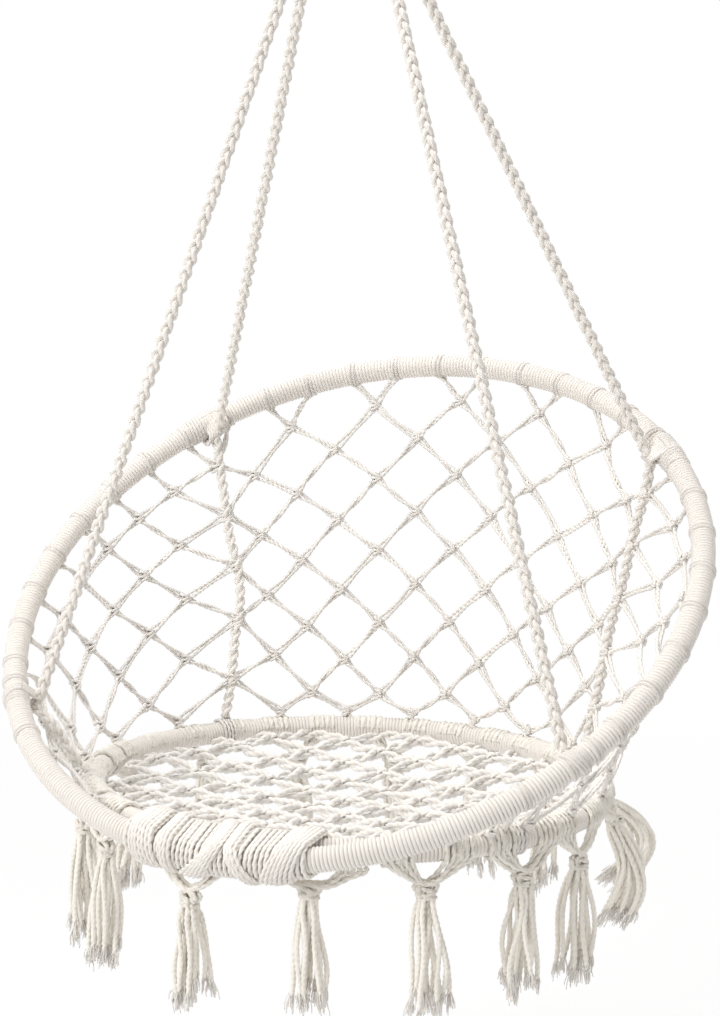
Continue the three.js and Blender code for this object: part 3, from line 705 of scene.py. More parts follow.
class CHAIR_OT_stage(bpy.types.Operator):
    """Set the floor, the soft lights, the white surround and the camera."""

    bl_idname = "chair.stage"
    bl_label = "Stage"

    def execute(self, context):
        scene = context.scene
        scene.view_settings.view_transform = "Standard"
        shape = bmesh.new()
        bmesh.ops.create_grid(shape, x_segments=8, y_segments=8, size=6)
        bmesh.ops.translate(shape, verts=shape.verts, vec=(0, 1.5, FLOOR_HEIGHT))
        mesh = bpy.data.meshes.new("floor")
        shape.to_mesh(mesh)
        shape.free()
        floor = bpy.data.objects.new("floor", mesh)
        scene.collection.objects.link(floor)
        mesh.materials.append(self.white_floor())
        self.surround(scene)
        for name, place, size, power in LIGHTS:
            lamp = bpy.data.lights.new(name, "AREA")
            lamp.size = size
            lamp.energy = power
            lit = bpy.data.objects.new(name, lamp)
            lit.location = place
            ahead = CHAIR_MIDDLE - lit.location
            lit.rotation_euler = ahead.to_track_quat("-Z", "Y").to_euler()
            scene.collection.objects.link(lit)
        self.camera(scene)
        return {"FINISHED"}

    def white_floor(self):
        """White to the camera, with the chair's soft shadow near the middle."""
        finish = Finish(bpy.data.materials.new("white_floor"))
        away = finish.node(
            "ShaderNodeVectorMath", {"Vector": finish.places()}, output="Value", operation="LENGTH"
        )
        shadow = ((2.9 - away) * 0.8).clipped() * 0.3
        pale = finish.mixed(finish.noise(1.5, 2), (0.88, 0.88, 0.88, 1), (0.92, 0.92, 0.92, 1))
        matt = finish.node("ShaderNodeBsdfDiffuse", {"Color": pale})
        white = finish.node("ShaderNodeEmission", {"Color": WHITE, "Strength": 1.0})
        both = finish.either(finish.ray("Camera") * (1 - shadow), matt, white)
        finish.node("ShaderNodeOutputMaterial", {"Surface": both})
        return finish.owner

    def surround(self, scene):
        """White to the camera and in reflections, and a plain soft light on the chair."""
        scene.world = bpy.data.worlds.new("white_surround")
        finish = Finish(scene.world)
        seen = finish.ray("Camera")
        for kind in ("Glossy", "Transmission"):
            seen = seen.or_more(finish.ray(kind))
        white = finish.node("ShaderNodeBackground", {"Color": WHITE, "Strength": 1.0})
        grey = finish.node("ShaderNodeBackground", {"Color": (1, 0.99, 0.98, 1), "Strength": 0.52})
        finish.node("ShaderNodeOutputWorld", {"Surface": finish.either(seen, grey, white)})

    def camera(self, scene):
        """The camera in the photo's place, looking ahead and rolled a little."""
        lens = bpy.data.cameras.new("camera")
        lens.lens = CAMERA_LENS
        camera = bpy.data.objects.new("camera", lens)
        ahead = Vector(CAMERA_AHEAD).normalized()
        level = ahead.cross(UP).normalized()
        upright = level.cross(ahead)
        right = level * math.cos(CAMERA_ROLL) + upright * math.sin(CAMERA_ROLL)
        top = upright * math.cos(CAMERA_ROLL) - level * math.sin(CAMERA_ROLL)
        turned = Matrix((right, top, -ahead)).transposed().to_4x4()
        camera.matrix_world = Matrix.Translation(CAMERA_PLACE) @ turned
        scene.collection.objects.link(camera)
        scene.camera = camera


# Ropes

# Diameter of the thread round the doubled ropes, and its steps in a turn.
THREAD = 0.0034
THREAD_STEPS = 16

# The doubled rope's slack over the bar, how far its ends are tucked into the whipping, how long
# they stay straight, and how far below the bar its legs are about half closed.
EYE_SLACK = 0.0016
EYE_TUCKED = 0.004
EYE_STRAIGHT = 0.012
EYE_HALF_CLOSED = 0.016

# Where a rope ends and its stay starts, in diameters above the foot on the back ring.
ROPE_MEETS_STAY = 0.3

# Diameter of the plait, as a share of the rope's.
PLAIT_SHARE = 0.87


class CHAIR_OT_ropes(bpy.types.Operator):
    """Braid the four ropes down to the back ring, and their eyes and whippings."""

    bl_idname = "chair.ropes"
    bl_label = "Ropes"

    def execute(self, context):
        chair = Chair(context.scene)
        for side, sign in SIDES:
            self.eye(chair, side, sign)
            self.whipping(chair, side, sign)
            for end in ("front", "rear"):
                self.rope(chair, end, side, sign)
        return {"FINISHED"}

    def rope(self, chair, end, side, sign):
        """One rope from its whipping to its foot on the back ring."""
        ropes = chair.ropes
        start = chair.on_leg(end, sign, -ropes.whipping / 2)
        leave = chair.rope_leaves(end, sign)
        foot = chair.rope_foot(end, sign)
        stop = foot + (leave - foot).normalized() * ropes.diameter * ROPE_MEETS_STAY
        points = [start, leave, leave.lerp(stop, 0.04), leave.lerp(stop, 0.5), stop]
        piece = add_cords(
            f"{end}_rope_{side}", "strand", braid(points, chair.rope, ropes.braid_pitch),
            "braided_cotton", "frame", [f"rope_{end}_{side}"],
        )
        path = smooth_path(points, 0.01)
        ropes.diameter * PLAIT_SHARE

    def eye(self, chair, side, sign):
        """The doubled rope goes up from the whipping, over the bar and down again."""
        bar, _, down, offset = chair.rope_top(sign)
        reach = chair.bar + EYE_SLACK + chair.rope
        end = chair.ropes.doubled - chair.ropes.whipping / 2 + EYE_TUCKED
        half_closed = (offset + reach) / 2 + 0.001
        leg = [(end, offset), (end - EYE_STRAIGHT, offset), (EYE_HALF_CLOSED, half_closed)]
        points = [bar + down * drop + FRONT * out for drop, out in leg]
        points += [
            bar - down * (reach * math.sin(turn)) + FRONT * (reach * math.cos(turn))
            for turn in np.linspace(0, math.pi, 9)
        ]
        points += [bar + down * drop - FRONT * out for drop, out in reversed(leg)]
        strands = braid(points, chair.rope, chair.ropes.braid_pitch * 0.9)
        add_cords(
            f"eye_{side}", "strand", strands, "braided_cotton", "frame",
            [f"rope_eye_{side}"],
        )

    def whipping(self, chair, side, sign):
        """Thread wound round both legs, flat where it passes from one to the other."""
        _, middle, down, offset = chair.rope_top(sign)
        square = down.cross(FRONT)
        length = chair.ropes.whipping
        reach = chair.rope + 0.0004 + THREAD / 2
        turns = round(length / THREAD)
        points = []
        for gone, turn in wound(turns, THREAD_STEPS):
            drop = length * (gone / turns - 0.5)
            out = reach * math.cos(turn) + offset * max(-1, min(1, 3 * math.cos(turn)))
            points.append(middle + down * drop + FRONT * out + square * (reach * math.sin(turn)))
        add_cords(
            f"whipped_cord_{side}", "round", [cord(points, THREAD, step=0.003)],
            "wound_cotton", "frame", [f"whipping_{side}"],
        )


# Rings

# The winding's steps in a turn, and how unevenly it lies.
WRAP_STEPS = 11
WRAP_UNEVEN = 0.00022

# The weld of the hanging ring: its width in bars, and half of its length.
WELD_WIDTH = 1.12
WELD_HALF = 0.0022


class CHAIR_OT_rings(bpy.types.Operator):
    """Bend the steel rings and wind both tubes with cotton cord, turn by turn."""

    bl_idname = "chair.rings"
    bl_label = "Rings"

    def execute(self, context):
        chair, sizes = Chair(context.scene), context.scene.chair_rings
        for name, ring, body in (("back", chair.back, "frame"), ("seat", chair.seat, "seat")):
            self.tube(name, ring, sizes, body)
            self.wrap(name, ring, sizes, body)
        self.hanging_ring(chair)
        return {"FINISHED"}

    def bent_bar(self, name, radius, bar, steps, sides, matrix):
        """A round bar bent into a ring about the z axis, and then placed by the matrix."""
        shape = bmesh.new()
        upright = Matrix.Rotation(math.pi / 2, 3, "X")
        bmesh.ops.create_circle(shape, segments=sides, radius=bar)
        bmesh.ops.rotate(shape, verts=shape.verts, matrix=upright, cent=(0, 0, 0))
        bmesh.ops.translate(shape, verts=shape.verts, vec=(radius, 0, 0))
        bmesh.ops.spin(
            shape, geom=shape.verts[:] + shape.edges[:], cent=(0, 0, 0), axis=(0, 0, 1),
            angle=FULL_TURN, steps=steps, use_merge=True,
        )
        bmesh.ops.transform(shape, verts=shape.verts, matrix=matrix)
        return finished_mesh(shape, bpy.data.meshes.new(name), near=1e-6)

    def tube(self, name, ring, sizes, body):
        name += "_tube"
        basis = Matrix((ACROSS, ring.to_rear, ring.normal)).transposed().to_4x4()
        matrix = Matrix.Translation(ring.centre) @ basis
        mesh = self.bent_bar(name, ring.radius, sizes.tube / 2, 120, 16, matrix)
        replaced = [name.replace("_", "_ring_")]
        add_piece(name, mesh, "plated_steel", body, replaced)

    def wrap(self, name, ring, sizes, body):
        """One cord wound all the way round the tube, in turns that lie a little unevenly."""
        steps = round(FULL_TURN * ring.radius / sizes.turn) * WRAP_STEPS
        count = np.arange(steps + 1)
        thick = sizes.turn * 0.5
        reach = sizes.tube / 2 + sizes.wrap - thick
        reach = reach + WRAP_UNEVEN * np.sin(count * 0.013) * np.sin(count * 0.0041)
        section = FULL_TURN * count / WRAP_STEPS
        turn = FULL_TURN * count / steps + math.pi
        outward = np.outer(np.sin(turn), ACROSS) + np.outer(np.cos(turn), ring.to_rear)
        path = np.array(ring.centre) + outward * (ring.radius + reach * np.cos(section))[:, None]
        path += np.outer(reach * np.sin(section), ring.normal)
        winding = path, np.full(len(path), thick), np.zeros(len(path))
        add_cords(
            f"{name}_winding", "round", [winding], "wound_cotton", body,
            [f"{name}_ring_wrap"],
        )

    def hanging_ring(self, chair):
        stand = Matrix.Translation(chair.hang_centre) @ Matrix.Rotation(math.pi / 2, 4, "X")
        mesh = self.bent_bar("steel_ring", chair.hang_radius, chair.bar, 96, 20, stand)
        shape = bmesh.new()
        shape.from_mesh(mesh)
        weld = bmesh.ops.create_icosphere(shape, subdivisions=3, radius=1)["verts"]
        wide = chair.bar * WELD_WIDTH
        bmesh.ops.scale(shape, verts=weld, vec=(wide, wide, WELD_HALF))
        beside_middle = chair.hang_centre + ACROSS * chair.hang_radius
        bmesh.ops.translate(shape, verts=weld, vec=beside_middle)
        shape.to_mesh(mesh)
        shape.free()
        add_piece("steel_ring", mesh, "plated_steel", "hanger", ["hanging_ring"])


# Turns on the back ring

# Slanted turns that hold each rope to the ring, and how far apart they lie in cords.
SLANTED = {"front": 3, "rear": 8}
SLANTED_APART = 0.8


class CHAIR_OT_turns(bpy.types.Operator):
    """Take each rope's turns and lashings about the back ring."""

    bl_idname = "chair.turns"
    bl_label = "Turns"

    def execute(self, context):
        chair = Chair(context.scene)
        for side, sign in SIDES:
            for end, replaced in (("rear", "rope_hitch_rear"), ("front", "rope_tie_front")):
                lines = self.on_ring(chair, end, sign) + self.round_both(chair, end, sign)
                add_cords(
                    f"{end}_turns_{side}", "round", lines, "wound_cotton", "frame",
                    [f"{replaced}_{side}"],
                )
        return {"FINISHED"}

    def on_ring(self, chair, end, sign):
        """Turns of cord laid side by side over the ring's wrap, low where they start and end."""
        degrees, _, facing, inner = chair.rope_meets(end, sign)
        ropes, ring, tie = chair.ropes, chair.back, chair.ropes.tie_cord
        room = tie * 0.9
        if end == "front":
            turns, start, bulge = ropes.front_turns, -ropes.front_turns / 2 * room, 0.0
        else:
            turns, start, bulge = ropes.rear_turns, -0.6 * room, 0.0018
        points = []
        for gone, turn in wound(turns):
            section = 0.4 + turn
            reach = chair.wrap - tie * 0.28 + bulge * (1 - (2 * gone / turns - 1) ** 2)
            angle = degrees + sign * (start + room * gone) / ring.per_degree
            aside = facing * (reach * math.cos(section))
            points.append(ring.at(angle) + aside + inner * (reach * math.sin(section)))
        return [cord(points, tie, twist=TIE_TWIST)]

    def round_both(self, chair, end, sign):
        """Slanted turns that hold the rope against the ring."""
        degrees, along, facing, inner = chair.rope_meets(end, sign)
        centre, tie = chair.back.at(degrees), chair.ropes.tie_cord
        stand = (chair.rope_foot(end, sign) - centre).dot(inner)
        lines = []
        for k in range(SLANTED[end]):
            lift = SLANTED_APART * (k - (SLANTED[end] - 1) / 2)
            points = []
            for _, turn in wound(1, 24):
                near = math.sin(turn) > 0
                reach = (chair.rope * 0.8 if near else chair.wrap - tie * 0.2) + tie * 0.3
                out = reach * math.cos(turn) + (0.0015 * lift if near else 0)
                inside = reach * math.sin(turn) + (stand * 0.86 if near else 0)
                slide = tie * (lift + 0.9 * math.cos(turn))
                points.append(centre + facing * out + inner * inside + along * slide)
            lines.append(cord(points, tie, twist=TIE_TWIST))
        return lines


# Stays

# A stay's net shares from top to foot, its kinks in degrees, and the turns that lash its foot.
STAY_SHARES = np.linspace(0.14, 0.985, 13)
STAY_KINK = 0.35
LASH_TURNS = 4


class CHAIR_OT_stays(bpy.types.Operator):
    """Run the stays down inside the back net, and lash their feet to the seat ring."""

    bl_idname = "chair.stays"
    bl_label = "Stays"

    def execute(self, context):
        chair = Chair(context.scene)
        for side, sign in SIDES:
            for end in ("rear", "front"):
                self.stay(chair, end, side, sign)
        return {"FINISHED"}

    def stay(self, chair, end, side, sign):
        """One stay from its rope's foot down to the seat ring, and the cord that lashes it there."""
        ropes, tie = chair.ropes, chair.ropes.tie_cord
        foot = chair.rope_foot(end, sign)
        arriving = (chair.on_leg(end, sign, 0.0) - foot).normalized() * ropes.diameter
        points = [foot + arriving * ROPE_MEETS_STAY, foot - arriving * ROPE_MEETS_STAY]
        for share in STAY_SHARES:
            angle = chair.stay_angle(end, sign, share)
            drop = share * chair.net_line(angle)[5]
            if drop > 2 * ropes.diameter:
                kink = STAY_KINK * math.sin(5.5 * math.pi * share + sign)
                inside = chair.stay_inside(share) * (1 if end == "rear" else 1.5)
                points.append(chair.on_net(angle + kink, drop, inside))
        name = f"{end}_stay_{side}"
        strands = braid(points, chair.rope * 0.92, ropes.braid_pitch * 0.85)
        replaced = [f"stay_{end}_{side}"]
        piece = add_cords(
            name, "strand", strands, "braided_cotton", replaced=replaced
        )
        bend_down_net(chair, piece)
        angle = chair.stay_angle(end, sign, 1.0)
        lash = []
        for gone, turn in wound(LASH_TURNS):
            slide = tie * 1.05 * (gone - LASH_TURNS / 2) / chair.seat.per_degree
            lash.append(chair.seat.around(angle + slide, 0.9 + turn, chair.wrap + tie / 2))
        add_cords(
            f"{name}_foot", "two_ply", [cord(lash, tie, twist=TIE_TWIST)],
            "twisted_cotton", "seat",
        )


# Nets


def pair_of_cords(start, end, aside, out, diameter, twist, turns, wave, opened=0.18, taper=None):
    """A leg's two cords from one knot to the next, wide at the knots and wound together between."""
    run = end - start
    lines = []
    for way in (-1, 1):
        points = []
        for t in (0.0, 0.12, 0.28, 0.5, 0.72, 0.88, 1.0):
            turn = math.pi * turns * t
            gap = diameter * (0.5 + opened * math.cos(FULL_TURN * t))
            offset = aside * (way * gap * math.cos(turn)) + out * (way * gap * math.sin(turn))
            bow = (out * wave + aside * (wave * 0.7)) * math.sin(math.pi * t)
            points.append(start + run * t + offset + bow)
        lines.append(cord(points, diameter, twist=twist, step=0.0021, phase=way, taper=taper))
    return lines


def knot_turns(at, east, north, out, width, diameter, start):
    """The turns of a square knot: two slanted across its front, one over its back."""
    lines = []
    for lift, slant in ((-0.25, 0.4), (0.25, -0.4), (0.0, 0.15)):
        points = []
        for _, angle in wound(1, 12):
            turn = angle + start
            wide = width * 0.4 * math.cos(turn)
            deep = width * 0.33 * math.sin(turn)
            high = width * (lift + slant * math.cos(turn) * 0.5)
            points.append(at + east * wide + out * deep + north * high)
        lines.append(cord(points, diameter, twist=KNOT_TWIST, step=0.0026))
    return lines


# A knot's place and ways, whether it hangs free, the ends of its legs on a ring, and the degrees
# at which those legs go round the back ring.
Knot = namedtuple("Knot", "at north east out free ends hitches")

# Most rows of the back net, and the least room between its hitches and a rope's turns.
MOST_ROWS = 40
CLEAR_OF_TURNS = 0.011


class CHAIR_OT_back_net(bpy.types.Operator):
    """Knot the net of the back from doubled cords."""

    bl_idname = "chair.back_net"
    bl_label = "Back net"

    def execute(self, context):
        chair = Chair(context.scene)
        net = chair.net
        chance = random.Random(5)
        knots = self.knots(chair)
        parts = {"left": [], "rear": [], "right": []}
        hitches = []
        for (i, j), knot in knots.items():
            lines = parts["rear" if abs(i) < net.stay_column else "left" if i < 0 else "right"]
            width = net.stay_knot if knot.free and abs(i) == net.stay_column else net.knot
            lines += knot_turns(
                knot.at, knot.east, knot.north, knot.out, width, net.cord * 0.95, chance.random()
            )
            below = [knots.get((i + step, j + 1)) for step in (-1, 1)] if knot.free else []
            for end in [met.at for met in below if met] + knot.ends:
                aside = (end - knot.at).cross(knot.out).normalized()
                lines += pair_of_cords(
                    knot.at, end, aside, knot.out, net.cord, chance.uniform(60, 80),
                    chance.choice((0, 1, 1, 2)), chance.uniform(-0.003, 0.0035),
                )
            for angle in knot.hitches:
                hitches += self.hitch(chair, angle)
        add_cords("back_net_hitches", "round", hitches, "wound_cotton", "frame")
        for place, lines in parts.items():
            replaced = ["back_net"] if place == "rear" else []
            piece = add_cords(
                f"back_net_{place}", "spun", lines, "twisted_cotton",
                replaced=replaced,
            )
            bend_down_net(chair, piece)
        return {"FINISHED"}

    def knots(self, chair):
        """The net's knots by column and row, down to those at the seat ring."""
        net = chair.net
        column = net.stay_column

        def place(i, j):
            """A knot's degrees, drop, line's length, if it is in reach, and if it hangs free."""
            past = max(abs(i) - column, 0)
            side = min(abs(i) / column, 1) ** 3
            row = net.row_rear + (net.row_side - net.row_rear) * side
            first = net.first_rear + (net.first_side - net.first_rear) * side
            level = (j - 1 - past) / 2
            drop = first + 2 * level * row
            side_pitch = net.side_pitch + net.side_spread * max(level, 0)
            degrees = math.copysign(min(abs(i), column) * net.pitch + past * side_pitch, i)
            length = chair.net_line(degrees)[5]
            reaches = (i + j) % 2 and level >= 0 and abs(degrees) <= net.reach
            return degrees, drop, length, reaches, reaches and drop <= length - net.last

        knots = {}
        columns = column + math.ceil((net.reach - column * net.pitch) / net.side_pitch)
        for i in range(-columns, columns + 1):
            for j in range(1, MOST_ROWS + 1):
                degrees, drop, length, reaches, free = place(i, j)
                below = reaches and (place(i - 1, j - 1)[4] or place(i + 1, j - 1)[4])
                if not (free or below):
                    continue
                share = min(drop / length, 1) if free else 1.0
                angle, inside = chair.slipped(degrees, share), 0.0
                if abs(i) == column and free:
                    angle = chair.stay_angle("rear", math.copysign(1, i), share)
                    inside = chair.stay_inside(share) * 0.8
                _, down, inward, across, _, reach = chair.net_line(angle)
                at = chair.on_net(angle, drop if free else reach - net.knot / 2, inside)
                knots[i, j] = Knot(at, -down, across, inward, free, [], [])
                if not free:
                    foot = chair.seat.around(angle + 0.4, math.pi / 2, chair.wrap * 0.8)
                    knots[i, j].ends.append(foot)
                    break
        for (i, j), knot in knots.items():
            for step in (1, -1):
                above = knots.get((i + step, j - 1))
                outward = i * step > 0 or i == 0
                on_top = j == 1 or (outward and not place(i, j - 2)[3])
                if not knot.free or (above and above.free) or not on_top:
                    continue
                home = place(i, j)[0]
                past = abs(i) - column
                pitch = net.side_pitch if past > 0 or (past == 0 and outward) else net.pitch
                angle = self.beside_turns(chair, home + step * pitch / 2, home)
                knot.ends.append(chair.on_net(angle, -0.004))
                knot.hitches.append(angle)
        return knots

    def hitch(self, chair, degrees):
        """A leg's two cords go once round the back ring, side by side and a little slanted."""
        ring, thick = chair.back, chair.net.cord
        down = chair.net_line(degrees)[1]
        leaves = math.atan2(down.dot(ring.normal), down.dot(ring.outward(degrees)))
        lines = []
        for way in (-0.5, 0.5):
            points = []
            for gone, turn in wound(1):
                angle = degrees + thick * (way + 0.3 * math.cos(math.pi * gone)) / ring.per_degree
                points.append(ring.around(angle, leaves + turn, chair.wrap - thick * 0.18))
            lines.append(cord(points, thick, twist=TIE_TWIST, step=0.0024))
        return lines

    def beside_turns(self, chair, degrees, home):
        """A hitch's place, moved off a rope's turns to the side on which its knot lies."""
        ropes = chair.ropes
        front = 2 * (ropes.tie_cord + 0.0006) + ropes.tie_cord / 2
        rear = ropes.diameter + chair.rope
        for angle, low, high in ((ropes.rear, -chair.rope, rear), (ropes.front, -front, front)):
            least = math.degrees(angle) + (low - CLEAR_OF_TURNS) / chair.back.per_degree
            most = math.degrees(angle) + (high + CLEAR_OF_TURNS) / chair.back.per_degree
            if least < abs(degrees) < most:
                return math.copysign(least if abs(home) < (least + most) / 2 else most, degrees)
        return degrees


# A seat net leg's thickness along its way, thin at its left end and thick before its right one.
SEAT_TAPER = ((0, 0.6), (0.25, 0.85), (0.7, 1.12), (1, 0.85))


class CHAIR_OT_seat_net(bpy.types.Operator):
    """Knot the net of the seat, and hitch its cords round the seat ring."""

    bl_idname = "chair.seat_net"
    bl_label = "Seat net"

    def execute(self, context):
        scene = context.scene
        chair, net = Chair(scene), scene.chair_seat_net
        ring = chair.seat
        chance = random.Random(11)
        reach = ring.radius - chair.wrap
        turned = Matrix.Rotation(net.turn, 2)

        def level(flat):
            return ACROSS * flat.x + ring.to_rear * flat.y

        def spot(flat):
            sag = net.sag * (1 - flat.length_squared / reach**2)
            return ring.centre + level(flat) - ring.normal * sag

        rows, columns = int(reach / net.row), math.ceil(2 * reach / net.pitch)
        knots = {}
        for j in range(-rows, rows + 1):
            for i in range(-columns, columns + 1):
                flat = turned @ Vector((i * net.pitch / 2, j * net.row))
                if (i + j) % 2 == 0 and flat.length <= reach - net.last:
                    knots[i, j] = flat
        east, north = (level(turned @ Vector(way)) for way in ((1, 0), (0, 1)))
        legs, turns, hitches = [], [], []
        half = chair.back.radius * math.sin(scene.chair_fringe.binding_half)
        for (i, j), flat in knots.items():
            at = spot(flat)
            turns += knot_turns(
                at, east, north, ring.normal, net.knot, net.cord * 0.66, chance.random()
            )
            for di, dj in ((1, 1), (-1, 1), (1, -1), (-1, -1)):
                run = turned @ Vector((di * net.pitch / 2, dj * net.row))
                if (i + di, j + dj) in knots:
                    if dj > 0:
                        legs += self.leg(at, spot(flat + run), ring.normal, net, chance)
                    continue
                slope, square = flat.dot(run), run.length_squared
                beyond = reach**2 - flat.length_squared
                share = (math.sqrt(slope**2 + square * beyond) - slope) / square
                end = flat + run * share
                bound = end.y < 0 and abs(end.x) < half + net.knot
                if bound:
                    end = flat + run * share * 0.94
                under = ring.normal * (0 if bound else chair.wrap * 0.5)
                legs += self.leg(at, spot(end) - under, ring.normal, net, chance)
                degrees = math.degrees(math.atan2(end.x, end.y))
                if not bound and abs(degrees) > net.plain_rear:
                    hitches += self.hitch(ring, chair, degrees, net)
        for name, lines, replaced in (
            ("seat_net_legs", legs, ["seat_net"]),
            ("seat_net_knots", turns, []),
            ("seat_net_hitches", hitches, []),
        ):
            add_cords(name, "two_ply", lines, "twisted_cotton", "seat", replaced)
        return {"FINISHED"}

    def leg(self, start, end, out, net, chance):
        aside = (end - start).cross(out).normalized()
        taper = SEAT_TAPER
        if end.x < start.x:
            taper = [(1 - share, reach) for share, reach in reversed(taper)]
        return pair_of_cords(
            start, end, aside, out, net.cord, chance.uniform(42, 52), chance.choice((1, 2, 2)),
            chance.uniform(-0.003, 0.002), -0.04, taper,
        )

    def hitch(self, ring, chair, degrees, net):
        """A leg's two cords go twice over the ring, round its tube and back to the inside."""
        lines = []
        for way in (-1.5, -0.5, 0.5, 1.5):
            points = []
            for gone, turn in wound(1, 12):
                angle = degrees + net.cord * 0.7 * (way + 0.5 * gone) / ring.per_degree
                section = math.pi - 1.05 * turn
                points.append(ring.around(angle, section, chair.wrap + net.cord * 0.18))
            lines.append(cord(points, net.cord * 0.72, twist=KNOT_TWIST, step=0.0028))
        return lines


# Front binding

# Fans of cord over the binding, as shares of half its width: the middles of a fan's top and
# foot, half of its spread at both, and its number of cords.
FAN_SHARES = (
    (-0.8, -0.72, 0.12, 0.15, 7),
    (-0.5, -0.46, 0.06, 0.05, 4),
    (0.06, -0.26, 0.06, 0.13, 6),
    (0.22, 0.46, 0.05, 0.06, 4),
    (0.84, 0.66, 0.12, 0.15, 7),
)


class CHAIR_OT_binding(bpy.types.Operator):
    """Bind the two rings at the front with fans of cord."""

    bl_idname = "chair.binding"
    bl_label = "Front binding"

    def execute(self, context):
        scene = context.scene
        chair, sizes = Chair(scene), scene.chair_fringe
        half = chair.back.radius * math.sin(sizes.binding_half)
        slant = math.asin(half / chair.seat.radius)
        chance = random.Random(3)
        thick = sizes.binding_cord
        radius = chair.wrap / math.cos(slant) + thick * 0.4
        lines = []
        turns = int(2 * half / thick)
        for k in range(turns):
            at = half * ((2 * k + 1) / turns - 1)
            lean = chance.uniform(-0.0012, 0.0012)
            lines.append(self.turn(chair, at + lean, at - lean, radius, thick))
        for high, low, high_share, low_share, cords in FAN_SHARES:
            for k in range(cords):
                share = 2 * k / (cords - 1) - 1
                top, foot = half * (high + high_share * share), half * (low + low_share * share)
                over = radius + thick * (0.62 + 0.3 * (1 - share**2)) + chance.uniform(0, 0.0006)
                lines.append(self.turn(chair, top, foot, over, thick))
        piece = add_cords(
            "front_fans", "spun", lines, "binding_cotton",
            replaced=["front_binding"],
        )
        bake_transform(piece)
        return {"FINISHED"}

    def turn(self, chair, high, low, radius, thick):
        """One turn of cord round both rings, by its places across at the top and the foot."""
        points = []
        for _, turn in wound(1, 28):
            x = (high + low) / 2 + (high - low) / 2 * math.sin(turn)
            back, seat = (
                ring.at(180 - math.degrees(math.asin(x / ring.radius)))
                for ring in (chair.back, chair.seat)
            )
            apart = (seat - back).normalized()
            over = ACROSS.cross(apart)
            centre = seat if math.cos(turn) > 0 else back
            aside = apart * (radius * math.cos(turn))
            points.append(centre + aside + over * (radius * math.sin(turn)))
        return cord(points, thick, KNOT_TWIST)


# Tassels

# Each tassel's place on the seat ring, in degrees from its rear towards the right.
TASSEL_ANGLES = (
    -171, -143, -124, -106, -86, -61, -37, -13, 9, 31, 54, 76, 99, 117, 139, 162.5,
)

# The numbers of the tassels that are blown outward, and how much. They hang higher and further
# out, and their strands look shorter.
BLOWN_SHARES = {11: 1.0, 12: 0.45}
BLOWN_RISE = 0.02
BLOWN_OUT = 0.012
BLOWN_SHORT = 0.84

# A tassel's own places: its knot's top and foot, and the ways along the ring and outward.
Hang = namedtuple("Hang", "top foot along outward")

# The cords of a swag on each side of its knot, their plies' turns a metre, and how many times as
# far along the ring they start beside the binding.
SWAG_CORDS = 5
SWAG_TWIST = 55
BOUND_SWAG = 1.4

# A strand's thickness along its way, and the number and width of the fibres at its end.
STRAND_TAPER = ((0, 0.95), (0.2, 1), (0.9, 1.05), (1, 0.8))
FIBRES = 16
FIBRE_WIDTH = 0.0012


